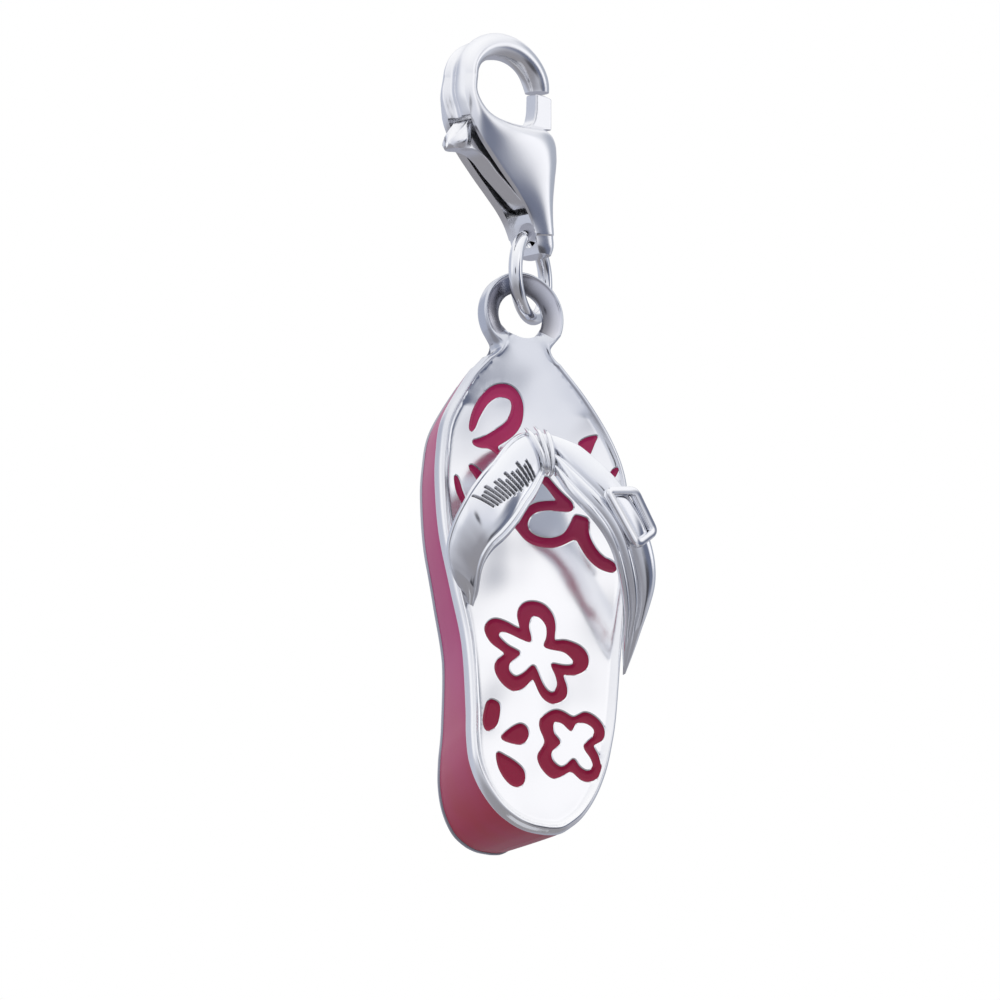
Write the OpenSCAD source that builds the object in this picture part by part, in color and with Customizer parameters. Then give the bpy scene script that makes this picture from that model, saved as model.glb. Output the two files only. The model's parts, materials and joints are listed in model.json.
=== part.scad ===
// Flip-flop charm: a trigger clasp, a jump ring and a cast flip-flop with enamel.
// All lengths are millimetres. The origin is the inner top of the clasp's hook,
// +Z is up, and the footbed faces -Y, leaning slightly back at the toe.

/* [Flip-flop] */
// Lean of the footbed about X, in degrees
charm_lean = 6; // [0:1:10]
// Height of the raised lip round the footbed
lip_h = 1.0; // [0.8:0.05:1.2]
// Depth of the dished footbed below the lip
dish_depth = 0.16; // [0.05:0.01:0.25]
// Width of the lip's front edge
lip_w = 0.5; // [0.3:0.05:0.7]
// How far the sole's wall leans in for each millimetre of depth
sole_taper = 0.1; // [0:0.01:0.15]
// Thickness of the silver outsole rim
outsole_t = 0.25; // [0.15:0.05:0.4]

/* [Enamel] */
// Thickness of the enamel round the side of the sole
band_t = 0.34; // [0.2:0.02:0.4]
// Depth of the pockets for the footbed enamel
pocket_depth = 0.45; // [0.3:0.05:0.6]
// Space between enamel and silver
enamel_gap = 0.03; // [0.02:0.01:0.05]

/* [Toe loop and jump ring] */
// Radius of the toe loop's centre line
toe_loop_r = 1.5; // [1.45:0.01:1.55]
// Radius of the toe loop's metal
toe_loop_wire_r = 0.35; // [0.3:0.01:0.36]
// Radius of the jump ring's centre line
ring_r = 1.87; // [1.8:0.01:1.9]
// Radius of the jump ring's wire
ring_wire_r = 0.32; // [0.28:0.01:0.34]
// Turn of the jump ring's plane about Z, in degrees from X
ring_turn = 44; // [40:1:50]

/* [Clasp] */
// Turn of the clasp about Z, in degrees
clasp_turn = 18; // [10:1:25]
// Half thickness of the clasp's body
clasp_half_t = 1.12; // [1.0:0.02:1.2]
// Half width of the channel for the lever
channel_half_w = 0.65; // [0.6:0.01:0.7]
// Side clearance of the lever in the channel
lever_clear = 0.07; // [0.05:0.01:0.1]
// Radius of the lever's pin
pin_r = 0.3; // [0.25:0.01:0.32]
// Running clearance of the pin in the lever
pin_clear = 0.04; // [0.02:0.01:0.08]
// Radius of the hole for the jump ring
eye_r = 0.54; // [0.5:0.01:0.56]

/* [Hidden] */

silver = "silver";
pink = "mediumvioletred";
crimson = "crimson";
facets = 32;

// Where the pieces hang: the eye's centre in the clasp, then the ring, then the charm
eye_u = 1.9;
ring_top_z = -8.0;
eye_drop = 0.02;
ring_top = [eye_u * cos(clasp_turn), eye_u * sin(clasp_turn), ring_top_z];
ring_bottom = ring_top - [0, 0, 2 * ring_r];
// From the middle of the toe loop to the jump ring's wire at its lowest point
loop_to_ring = [0.67, 0.33, 0.09];
charm_at = ring_bottom - loop_to_ring;

// Depth of the footbed in front of the toe loop's middle
deck_y = -0.55;

// Footbed outline. Columns: height z, left edge, right edge
SOLE_OUTLINE = [
    [-1.25, -1.35, 1.35],
    [-2.20, -2.05, 2.00],
    [-3.70, -3.15, 3.05],
    [-5.40, -4.15, 3.95],
    [-7.00, -4.50, 4.50],
    [-8.60, -4.62, 4.76],
    [-10.90, -4.53, 4.80],
    [-13.40, -4.10, 4.50],
    [-16.00, -3.65, 4.10],
    [-18.90, -3.60, 3.70],
    [-20.30, -3.65, 3.40],
    [-21.50, -3.50, 3.05],
    [-22.70, -3.05, 2.50],
    [-23.70, -2.35, 1.80],
    [-24.30, -1.55, 1.10],
    [-24.60, -0.80, 0.55],
    [-24.68, -0.10, -0.10]];

// Thickness of the sole. Columns: height z, thickness
SOLE_THICKNESS = [
    [0, 1.6], [-2, 2.1], [-4, 2.7], [-8, 3.05], [-12, 3.35],
    [-16, 3.8], [-19, 4.4], [-22, 5.2], [-25, 5.9]];

// Strap arms, from the toe post to the foot of the arm.
// Columns: toe edge x, height over the footbed, z, then the same for the heel edge
LEFT_ARM = [
    [-0.60, 0.90, -6.00, 0.20, 1.10, -7.80],
    [-1.75, 1.40, -7.05, -0.50, 1.60, -8.85],
    [-2.80, 1.70, -8.15, -1.40, 1.90, -10.00],
    [-4.05, 1.55, -9.65, -2.65, 1.70, -11.65],
    [-4.75, 0.90, -11.20, -3.45, 1.00, -13.00],
    [-4.70, -0.10, -12.10, -3.70, 0.00, -14.00]];
RIGHT_ARM = [
    [0.75, 0.90, -6.10, 0.20, 1.10, -7.80],
    [1.35, 1.50, -6.55, 0.65, 1.60, -8.25],
    [1.90, 2.00, -7.15, 1.00, 2.00, -9.55],
    [3.05, 2.50, -8.55, 1.70, 2.50, -11.05],
    [4.05, 2.70, -9.70, 2.35, 2.50, -12.25],
    [4.70, 2.50, -11.30, 3.00, 2.00, -13.50],
    [4.90, 1.80, -13.25, 3.45, 1.20, -15.00],
    [4.70, 0.90, -15.00, 3.70, 0.50, -16.05],
    [4.20, -0.10, -16.50, 3.75, -0.10, -16.70]];
// Thickness of an arm at its edges' middle, its rows' subdivision, and how far its face is crowned
arm_t = 0.5;
arm_steps = 3;
arm_crown = 0.18;
arm_sides = 12;

// Outlines of the flowers, their islands and the loose petals in the footbed. Columns: x, z
FIVE_OUTER = [
    [-0.97, -15.10], [-1.09, -14.49], [-0.87, -13.94], [-0.35, -13.72], [0.27, -13.81], [0.73, -14.28],
    [0.82, -14.89], [0.74, -15.48], [1.24, -15.41], [2.01, -15.61], [2.41, -16.08], [2.30, -16.67],
    [1.70, -17.01], [1.08, -17.05], [1.24, -17.58], [1.17, -18.14], [0.53, -18.49], [-0.00, -18.25],
    [-0.25, -17.80], [-0.47, -17.39], [-0.88, -17.81], [-1.48, -18.08], [-2.08, -17.73], [-2.39, -17.18],
    [-2.26, -16.69], [-1.81, -16.32], [-2.50, -15.91], [-2.82, -15.32], [-2.60, -14.88], [-2.16, -14.73],
    [-1.58, -14.87]];
FIVE_INNER = [
    [-0.45, -15.67], [-0.56, -14.99], [-0.39, -14.44], [0.01, -14.39], [0.39, -14.82], [0.36, -15.44],
    [0.19, -15.80], [0.71, -15.89], [1.25, -15.96], [1.68, -16.35], [1.51, -16.59], [1.02, -16.63],
    [0.51, -16.60], [0.70, -17.05], [0.81, -17.59], [0.56, -17.97], [0.23, -17.90], [-0.04, -17.49],
    [-0.37, -16.74], [-0.80, -17.09], [-1.33, -17.41], [-1.68, -17.14], [-1.58, -16.69], [-1.01, -16.24],
    [-1.64, -15.97], [-2.14, -15.53], [-1.92, -15.28], [-1.49, -15.34]];
FOUR_OUTER = [
    [1.51, -19.07], [2.05, -18.76], [2.61, -18.94], [3.04, -19.45], [2.91, -20.02], [2.41, -20.30],
    [2.67, -20.76], [2.70, -21.49], [2.31, -21.99], [1.72, -21.99], [1.27, -21.61], [0.81, -21.86],
    [0.30, -22.04], [-0.18, -21.69], [-0.43, -21.07], [0.03, -20.39], [-0.19, -19.81], [-0.17, -19.28],
    [0.52, -18.79], [1.06, -18.86]];
FOUR_INNER = [
    [1.36, -19.72], [1.59, -19.32], [2.09, -19.23], [2.53, -19.50], [2.47, -19.89], [1.94, -20.37],
    [2.23, -20.81], [2.41, -21.30], [2.06, -21.57], [1.66, -21.38], [1.40, -21.02], [1.02, -21.35],
    [0.70, -21.49], [0.32, -21.21], [0.30, -20.74], [0.80, -20.31], [0.46, -19.92], [0.49, -19.34],
    [0.95, -19.36]];
PETAL_UPPER = [
    [-2.64, -18.60], [-2.26, -18.78], [-2.29, -19.34], [-2.50, -19.85], [-2.96, -20.09], [-3.13, -19.72],
    [-3.03, -19.16], [-2.87, -18.76]];
PETAL_MIDDLE = [
    [-2.24, -20.38], [-1.82, -19.93], [-1.25, -19.61], [-0.91, -19.76], [-0.84, -20.13], [-1.12, -20.51],
    [-1.62, -20.56]];
PETAL_LOWER = [
    [-2.51, -21.11], [-2.11, -21.20], [-1.54, -21.48], [-1.15, -21.87], [-1.20, -22.40], [-1.60, -22.61],
    [-2.04, -22.42], [-2.44, -21.82]];
LEAF_LEFT = [[-3.36, -7.38], [-2.98, -7.50], [-2.62, -7.78], [-2.90, -8.16], [-3.20, -7.85]];
LEAF_RIGHT = [[2.25, -5.95], [2.70, -5.60], [3.36, -5.48], [3.15, -5.95], [2.86, -6.42], [2.55, -6.15]];
BUD_RIGHT = [[3.98, -7.28], [4.30, -6.92], [4.38, -7.10], [4.14, -7.50]];
// Strokes of the toe flower, as centre lines. Columns: x, z, stroke width
TOE_PETAL = [
    [-3.20, -5.85, 0.36], [-2.80, -5.00, 0.44], [-2.15, -4.15, 0.48], [-1.45, -3.85, 0.52],
    [-0.85, -4.15, 0.52], [-0.82, -4.75, 0.52], [-1.30, -5.45, 0.52], [-2.15, -5.95, 0.46],
    [-2.80, -6.25, 0.34]];
CURL_LEFT = [[-4.00, -7.95, 0.22], [-3.92, -8.50, 0.28], [-3.70, -9.10, 0.22]];
// The scroll is three strokes that meet
SCROLL_STEM = [[0.50, -7.65, 0.40], [1.05, -8.20, 0.42], [1.57, -8.70, 0.44], [1.86, -9.04, 0.36]];
SCROLL_BOWL = [
    [1.84, -8.98, 0.34], [1.19, -9.00, 0.44], [0.25, -9.08, 0.44], [-0.43, -9.45, 0.50],
    [-0.70, -10.02, 0.50], [-0.40, -10.58, 0.46], [0.23, -10.82, 0.44], [0.82, -10.80, 0.46],
    [1.48, -10.50, 0.54], [2.05, -10.05, 0.62], [2.38, -9.66, 0.56]];
SCROLL_TAIL = [
    [2.42, -9.40, 0.60], [2.42, -10.05, 0.44], [2.56, -10.60, 0.46], [2.90, -11.17, 0.46],
    [3.38, -11.52, 0.46], [3.88, -11.62, 0.48]];

// Buckle on the right arm: corners of its frame. Columns: x, height over the footbed, z
BUCKLE = [[2.10, 3.02, -9.20], [3.50, 3.05, -9.05], [4.60, 2.75, -10.85], [3.60, 2.90, -11.65]];
buckle_bar_r = 0.2;

// Engraved patch on the left arm: first and last stroke.
// Columns: place along the arm's rows, then where the stroke starts and ends across the arm
PATCH = [[0.95, 0.42, 0.86], [2.85, 0.12, 0.48]];
patch_strokes = 10;
stroke_r = 0.09;
stroke_lift = 0.02;

// Clasp, in its own plane: u to the right, v up, n towards the viewer
hook_c = [0, -1.3];
hook_a = 2.4;
hook_b = 1.85;
hook_wire_r = 0.5;
// Swell of the wire in the hook's plane, and how much deeper it is where it joins the walls
hook_swell = 0.05;
hook_root = 0.4;
// The hook runs from its tip to the walls' far corner, in degrees round its centre
hook_start = 3;
hook_end = 232;
hook_steps = 26;
hook_sides = 16;
pivot = [1.9, -6.3];
// Radius of the latch's top about the pivot, and the gap to the hook's tip
latch_r = 5.1;
latch_gap = 0.12;
// The latch's top is an arc about the pivot, above this corner
latch_corner = [1.5, -2.2];
lever_half_t = channel_half_w - lever_clear;
// The pin ends inside the walls, in a blind bore
pin_half_l = 0.95;
pin_fit = 0.01;
hub_r = 0.52;

// Outline of the clasp's two walls. Columns: u, v
WALL = [
    [-1.75, -1.60], [-1.50, -2.05], [-1.00, -2.50], [-0.30, -2.78], [0.60, -2.85], [1.50, -2.78],
    [2.45, -2.80], [2.95, -3.08], [3.18, -3.70], [3.08, -4.80], [2.85, -6.00], [2.72, -7.20],
    [2.68, -8.55], [2.50, -8.85], [1.72, -8.85], [1.55, -8.20], [1.20, -7.50], [0.60, -6.75],
    [-0.20, -5.95], [-1.20, -5.10], [-2.00, -4.30], [-2.45, -3.50], [-2.66, -2.60], [-2.75, -1.60]];
// The walls' rounding. Columns: distance n from the middle, inset
WALL_ROUNDING = [[-1, 0.30], [-0.86, 0.08], [-0.54, 0], [0.54, 0], [0.86, 0.08], [1, 0.30]];
// Channel between the walls, open at the left and under the hook. Columns: u, v
CHANNEL = [
    [-4.00, -3.10], [-1.30, -3.05], [-0.90, -2.75], [-0.75, -2.00], [2.70, -2.00], [2.70, -6.70],
    [2.40, -7.10], [1.90, -7.15], [-1.00, -7.15], [-4.00, -5.20]];
// Lever, from its hub up the left edge to the thumb tab and over to the latch. Columns: u, v
LEVER = [
    [1.70, -6.60], [1.15, -6.40], [0.55, -5.65], [-0.30, -4.90], [-1.20, -4.25], [-2.00, -3.98],
    [-2.75, -4.30], [-3.25, -4.42], [-3.45, -4.20], [-3.40, -3.85], [-2.90, -3.50], [-2.10, -3.38],
    [-1.20, -3.42], [-0.30, -3.28], [0.70, -3.08], [1.45, -2.90], [1.66, -2.60], [1.68, -1.75],
    [1.85, -1.00], [3.25, -1.00], [3.28, -2.62], [2.45, -2.66], [2.45, -4.50], [2.36, -6.25]];

// Smooth curve through the rows of a table
function spline_point(p, i, t) = let (
    a = p[max(i - 1, 0)],
    b = p[i],
    c = p[i + 1],
    d = p[min(i + 2, len(p) - 1)])
    0.5 * (2 * b + (c - a) * t + (2 * a - 5 * b + 4 * c - d) * t * t + (3 * b - a - 3 * c + d) * t * t * t);
function spline(p, steps) = [
    for (i = [0:len(p) - 2]) for (k = [0:steps - 1]) spline_point(p, i, k / steps),
    p[len(p) - 1]];
// The same for a closed outline
function closed_spline(p, steps) = let (n = len(p)) [
    for (i = [0:n - 1]) for (k = [0:steps - 1])
        spline_point([p[(i + n - 1) % n], p[i], p[(i + 1) % n], p[(i + 2) % n]], 1, k / steps)];
function unit(v) = v / norm(v);

// Outline of a stroke of changing width, with rounded ends
function stroke_side(p, side) = let (n = len(p)) [
    for (i = [0:n - 1])
        let (
            a = p[max(i - 1, 0)],
            b = p[min(i + 1, n - 1)],
            d = unit([b[0] - a[0], b[1] - a[1]]))
        [p[i][0] - side * d[1] * p[i][2] / 2, p[i][1] + side * d[0] * p[i][2] / 2]];
function reversed(p) = [for (i = [len(p) - 1:-1:0]) p[i]];
function stroke_outline(rows, steps) = let (p = spline(rows, steps))
    concat(stroke_side(p, 1), reversed(stroke_side(p, -1)));

// Triangles that join rings of equal length into a closed tube with flat ends
function tube_faces(rings, n) = concat(
    [for (r = [0:rings - 2]) for (i = [0:n - 1]) [r * n + i, r * n + (i + 1) % n, (r + 1) * n + i]],
    [for (r = [0:rings - 2]) for (i = [0:n - 1])
        [r * n + (i + 1) % n, (r + 1) * n + (i + 1) % n, (r + 1) * n + i]],
    [[for (i = [n - 1:-1:0]) i]],
    [[for (i = [0:n - 1]) (rings - 1) * n + i]]);
module tube(rings) {
    polyhedron([for (r = rings) each r], tube_faces(len(rings), len(rings[0])), convexity = 8);
}

// Sole: its edge runs down the left side, round the heel and up the right side
sole_steps = 3;
sole_rows = spline(SOLE_OUTLINE, sole_steps);
last_row = len(sole_rows) - 1;
sole_edge = concat(
    [for (r = sole_rows) [r[1], r[0]]],
    [for (i = [last_row - 1:-1:0]) [sole_rows[i][2], sole_rows[i][0]]]);
sole_n = len(sole_edge);
function edge_normal(i) = let (
    a = sole_edge[max(i - 1, 0)],
    b = sole_edge[min(i + 1, sole_n - 1)],
    d = unit(b - a))
    [-d[1], d[0]];
function inset_edge(i, inset) = sole_edge[i] + inset * edge_normal(i);
function sole_t(z) = lookup(z, SOLE_THICKNESS);
// The enamel's channel starts below the toe and deepens over a short run
band_top_z = -2.4;
band_run = 1.0;
// The lip: rounding of its outer edge, where its side is upright, and the slope down to the footbed
lip_round = 0.06;
lip_side = 0.2;
dish_slope_w = 0.35;
function band_share(z) = min(1, max(0, (band_top_z - z) / band_run));

// One ring of the sole: depth is measured from the footbed, or from the outsole if from_back is 1
function sole_ring(depth, inset, from_back = 0, channel = 0) = [
    for (i = [0:sole_n - 1])
        let (
            z = sole_edge[i][1],
            at_depth = from_back * sole_t(z) + depth,
            p = inset_edge(i, inset + sole_taper * max(0, at_depth - lip_h) + channel * band_share(z)))
        [p[0], deck_y + at_depth, p[1]]];
// Faces across the sole at one ring, from the left edge to the right one
function cap_faces(first, flip) = [
    for (i = [0:last_row - 1])
        let (
            a = first + i,
            b = first + i + 1,
            c = first + sole_n - 2 - i,
            d = first + sole_n - 1 - i,
            f = i == last_row - 1 ? [a, b, d] : [a, b, c, d])
        flip ? reversed(f) : f];
function wall_faces(rings, n, closed) = [
    for (r = [0:rings - 2]) for (i = [0:n - (closed ? 1 : 2)])
        let (a = r * n + i, b = r * n + (i + 1) % n)
        each [[a, b, a + n], [b, b + n, a + n]]];
module sole() {
    rings = [
        sole_ring(dish_depth, lip_w + dish_slope_w),
        sole_ring(lip_round / 3, lip_w),
        sole_ring(0, lip_w / 2),
        sole_ring(lip_round, lip_round),
        sole_ring(lip_side, 0),
        sole_ring(lip_h, 0),
        sole_ring(lip_h, 0, 0, band_t + enamel_gap),
        sole_ring(-outsole_t, 0, 1, band_t + enamel_gap),
        sole_ring(-outsole_t, 0, 1),
        sole_ring(0, 0, 1)];
    count = len(rings);
    polyhedron(
        [for (r = rings) each r],
        concat(
            wall_faces(count, sole_n, true),
            cap_faces(0, true),
            cap_faces((count - 1) * sole_n, false)),
        convexity = 8);
}

// Enamel round the sole's side, between the lip and the outsole, open at the toe
module band() {
    first = [for (i = [0:last_row]) if (band_share(sole_rows[i][0]) > 0.5) i][0];
    span = [first:sole_n - 1 - first];
    function part_of(ring) = [for (i = span) ring[i]];
    rows = [
        part_of(sole_ring(lip_h + enamel_gap, enamel_gap)),
        part_of(sole_ring(-outsole_t - enamel_gap, enamel_gap, 1)),
        part_of(sole_ring(-outsole_t - enamel_gap, 0, 1, band_t)),
        part_of(sole_ring(lip_h + enamel_gap, 0, 0, band_t))];
    n = len(rows[0]);
    polyhedron(
        [for (r = rows) each r],
        concat(
            wall_faces(4, n, false),
            [for (i = [0:n - 2]) each [[3 * n + i, 3 * n + i + 1, i], [3 * n + i + 1, i + 1, i]]],
            [[0, n, 2 * n, 3 * n]],
            [[4 * n - 1, 3 * n - 1, 2 * n - 1, n - 1]]),
        convexity = 8);
}

// Strap arm: a flat, slightly crowned band between its two edges
function arm_point(row, a, lift = 0) = let (
    toe = [row[0], deck_y - row[1], row[2]],
    heel = [row[3], deck_y - row[4], row[5]],
    across = (toe - heel) / 2,
    out = unit([0, -1, 0] - ([0, -1, 0] * unit(across)) * unit(across)))
    (toe + heel) / 2 + cos(a) * across + (sin(a) * arm_t / 2 + arm_crown * sin(a) * sin(a) + lift) * out;
function arm_ring(row, side) = [for (k = [0:arm_sides - 1]) arm_point(row, side * 360 * k / arm_sides)];
module arm(rows, side) {
    tube([for (r = spline(rows, arm_steps)) arm_ring(r, side)]);
}
module bar(a, b, r) {
    hull() {
        translate(a) sphere(r, $fn = 12);
        translate(b) sphere(r, $fn = 12);
    }
}
module buckle() {
    corners = [for (c = BUCKLE) [c[0], deck_y - c[1], c[2]]];
    for (i = [0:3]) bar(corners[i], corners[(i + 1) % 4], buckle_bar_r);
}
module patch() {
    for (i = [0:patch_strokes - 1]) {
        at = PATCH[0] + (PATCH[1] - PATCH[0]) * i / (patch_strokes - 1);
        row = spline_point(LEFT_ARM, floor(at[0]), at[0] - floor(at[0]));
        bar(
            arm_point(row, acos(1 - 2 * at[1]), stroke_lift),
            arm_point(row, acos(1 - 2 * at[2]), stroke_lift),
            stroke_r);
    }
}
// Post between the toes, under the place where the arms meet
post = [0.05, -6.95];
post_r = 0.55;
post_top_r = 0.75;
post_h = 1.2;
post_root = 0.5;
post_head = [1, 1.3, 0.45];
module toe_post() {
    translate([post[0], deck_y + post_root, post[1]]) rotate([90, 0, 0]) {
        cylinder(h = post_root + post_h, r1 = post_r, r2 = post_top_r, $fn = facets);
        translate([0, 0, post_root + post_h]) scale(post_head) sphere(post_top_r, $fn = facets);
    }
}
module toe_loop() {
    rotate([90, 0, 0]) rotate_extrude($fn = 40) translate([toe_loop_r, 0]) circle(toe_loop_wire_r, $fn = 16);
}

// Shapes in the footbed, drawn in its plane
module five_petal_shape() {
    difference() {
        polygon(closed_spline(FIVE_OUTER, 2));
        polygon(closed_spline(FIVE_INNER, 2));
    }
}
module four_petal_shape() {
    difference() {
        polygon(closed_spline(FOUR_OUTER, 2));
        polygon(closed_spline(FOUR_INNER, 2));
    }
}
module filled_shape(rows) {
    polygon(closed_spline(rows, 3));
}
module stroke_shape(rows) {
    polygon(stroke_outline(rows, 3));
}
module scroll_shape() {
    stroke_shape(SCROLL_STEM);
    stroke_shape(SCROLL_BOWL);
    stroke_shape(SCROLL_TAIL);
}
module footbed_shapes() {
    five_petal_shape();
    four_petal_shape();
    for (rows = [PETAL_UPPER, PETAL_MIDDLE, PETAL_LOWER]) filled_shape(rows);
    for (rows = [LEAF_LEFT, LEAF_RIGHT, BUD_RIGHT]) filled_shape(rows);
    for (rows = [TOE_PETAL, CURL_LEFT]) stroke_shape(rows);
    scroll_shape();
}
// Turns a drawing in the footbed's plane into a slab between two depths
module slab(top, bottom) {
    translate([0, deck_y + bottom, 0]) rotate([90, 0, 0]) linear_extrude(bottom - top) children();
}
module inlay() {
    color(crimson) in_charm()
        slab(dish_depth + enamel_gap, dish_depth + pocket_depth - enamel_gap) children();
}
module in_charm() {
    translate(charm_at) rotate([-charm_lean, 0, 0]) children();
}
module in_clasp() {
    rotate([0, 0, clasp_turn]) rotate([90, 0, 0]) children();
}

module charm_casting() {
    color(silver) in_charm() {
        difference() {
            sole();
            slab(-1, dish_depth + pocket_depth) offset(delta = enamel_gap) footbed_shapes();
        }
        toe_loop();
        toe_post();
        arm(LEFT_ARM, 1);
        arm(RIGHT_ARM, -1);
        buckle();
        patch();
    }
}
module side_enamel() {
    color(pink) in_charm() band();
}
module enamel_five_petal_flower() {
    inlay() five_petal_shape();
}
module enamel_four_petal_flower() {
    inlay() four_petal_shape();
}
module enamel_petal_upper() {
    inlay() filled_shape(PETAL_UPPER);
}
module enamel_petal_middle() {
    inlay() filled_shape(PETAL_MIDDLE);
}
module enamel_petal_lower() {
    inlay() filled_shape(PETAL_LOWER);
}
module enamel_toe_petal() {
    inlay() stroke_shape(TOE_PETAL);
}
module enamel_toe_leaf_left() {
    inlay() filled_shape(LEAF_LEFT);
}
module enamel_toe_curl_left() {
    inlay() stroke_shape(CURL_LEFT);
}
module enamel_toe_leaf_right() {
    inlay() filled_shape(LEAF_RIGHT);
}
module enamel_toe_bud_right() {
    inlay() filled_shape(BUD_RIGHT);
}
module enamel_toe_scroll() {
    inlay() scroll_shape();
}

module jump_ring() {
    color(silver) translate(ring_top - [0, 0, ring_r]) rotate([90, 0, ring_turn])
        rotate_extrude($fn = 64) translate([ring_r, 0]) circle(ring_wire_r, $fn = 24);
}

// Hook: a bent wire whose section grows towards the body
function hook_ring(k) = let (
    share = k / hook_steps,
    a = hook_start + (hook_end - hook_start) * share,
    at = hook_c + [hook_a * cos(a), hook_b * sin(a)],
    out = unit([cos(a) / hook_a, sin(a) / hook_b]),
    in_plane = hook_wire_r + hook_swell * sin(min(a, 180)),
    depth = hook_wire_r + hook_root * pow(share, 2))
    [for (i = [0:hook_sides - 1])
        let (b = 360 * i / hook_sides)
        [at[0] + in_plane * cos(b) * out[0], at[1] + in_plane * cos(b) * out[1], depth * sin(b)]];
module hook() {
    difference() {
        tube([for (k = [0:hook_steps]) hook_ring(k)]);
        translate(pivot) cylinder(h = 4, r = latch_r + latch_gap, center = true, $fn = 96);
    }
}
// Outline of the walls, pulled in by a distance
wall_outline = closed_spline(WALL, 2);
function wall_ring(n, inset) = let (count = len(wall_outline)) [
    for (i = [0:count - 1])
        let (
            a = wall_outline[(i + count - 1) % count],
            b = wall_outline[(i + 1) % count],
            d = unit(b - a))
        [wall_outline[i][0] + inset * d[1], wall_outline[i][1] - inset * d[0], n]];
module walls() {
    tube([for (r = WALL_ROUNDING) wall_ring(r[0] * clasp_half_t, r[1])]);
}
module clasp_body() {
    color(silver) in_clasp() difference() {
        union() {
            hook();
            walls();
        }
        linear_extrude(2 * channel_half_w, center = true) polygon(CHANNEL);
        translate(pivot)
            cylinder(h = 2 * (pin_half_l + pin_fit), r = pin_r + pin_fit, center = true, $fn = facets);
        translate([eye_u, ring_top_z + eye_drop, 0]) rotate([0, 90 - (clasp_turn - ring_turn), 0])
            cylinder(h = 6, r = eye_r, center = true, $fn = facets);
    }
}
module clasp_lever() {
    color(silver) in_clasp() difference() {
        union() {
            linear_extrude(2 * lever_half_t, center = true) difference() {
                polygon(LEVER);
                difference() {
                    translate(latch_corner) square(3);
                    translate(pivot) circle(latch_r, $fn = 96);
                }
            }
            translate(pivot) cylinder(h = 2 * lever_half_t, r = hub_r, center = true, $fn = facets);
        }
        translate(pivot) cylinder(h = 4, r = pin_r + pin_clear, center = true, $fn = facets);
    }
}
module lever_pin() {
    color(silver) in_clasp() translate(pivot)
        cylinder(h = 2 * pin_half_l, r = pin_r, center = true, $fn = facets);
}

clasp_body();
clasp_lever();
lever_pin();
jump_ring();
charm_casting();
side_enamel();
enamel_five_petal_flower();
enamel_four_petal_flower();
enamel_petal_upper();
enamel_petal_middle();
enamel_petal_lower();
enamel_toe_petal();
enamel_toe_leaf_left();
enamel_toe_curl_left();
enamel_toe_leaf_right();
enamel_toe_bud_right();
enamel_toe_scroll();
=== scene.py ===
import json
import math

import bmesh
import bpy
import numpy as np
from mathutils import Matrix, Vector, kdtree
from mathutils.geometry import delaunay_2d_cdt


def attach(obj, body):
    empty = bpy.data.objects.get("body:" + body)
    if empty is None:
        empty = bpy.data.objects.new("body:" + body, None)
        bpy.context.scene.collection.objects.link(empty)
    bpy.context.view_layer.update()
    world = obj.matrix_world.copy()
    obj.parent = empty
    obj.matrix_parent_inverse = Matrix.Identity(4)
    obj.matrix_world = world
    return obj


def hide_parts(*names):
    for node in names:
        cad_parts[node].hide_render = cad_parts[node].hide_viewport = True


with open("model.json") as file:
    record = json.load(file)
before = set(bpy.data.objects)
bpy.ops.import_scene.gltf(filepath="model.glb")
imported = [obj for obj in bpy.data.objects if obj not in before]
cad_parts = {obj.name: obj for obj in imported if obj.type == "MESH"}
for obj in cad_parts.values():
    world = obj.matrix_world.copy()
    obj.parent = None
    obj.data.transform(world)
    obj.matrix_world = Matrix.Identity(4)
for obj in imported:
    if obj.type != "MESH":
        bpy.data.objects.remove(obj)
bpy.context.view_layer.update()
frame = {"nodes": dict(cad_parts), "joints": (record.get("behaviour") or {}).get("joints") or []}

# Camera: a long lens a little below the charm and to its left.
# The hook seat stands at its place in the photograph, and a millimetre has its size there.
PX_PER_MM = 22
PHOTO_PX = 1000
HOOK_SEAT_PX = (501, 58.1)
camera_turn = math.radians(-27)
camera_rise = math.radians(-12)
camera_far = 1000
to_camera = np.array([
    math.sin(camera_turn) * math.cos(camera_rise),
    -math.cos(camera_turn) * math.cos(camera_rise),
    math.sin(camera_rise)])
image_right = np.array([math.cos(camera_turn), math.sin(camera_turn), 0])
image_up = np.cross(to_camera, image_right)
charm_nearness = 4.3
aim = (
    image_right * (PHOTO_PX / 2 - HOOK_SEAT_PX[0]) / PX_PER_MM
    + image_up * (HOOK_SEAT_PX[1] - PHOTO_PX / 2) / PX_PER_MM
    + to_camera * charm_nearness)
MM = 0.001


def new_object(name, data):
    """An object with that mesh or camera, in the scene."""
    made = bpy.data.objects.new(name, data)
    bpy.context.scene.collection.objects.link(made)
    return made


camera = new_object("camera", bpy.data.cameras.new("camera"))
camera.location = Vector(aim + to_camera * camera_far) * MM
camera.rotation_euler = Vector(-to_camera).to_track_quat("-Z", "Y").to_euler()
camera.data.sensor_width = 36
camera.data.lens = camera.data.sensor_width * camera_far / (PHOTO_PX / PX_PER_MM)
camera.data.clip_start = 0.01
camera.data.clip_end = 20
bpy.context.scene.camera = camera


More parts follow.
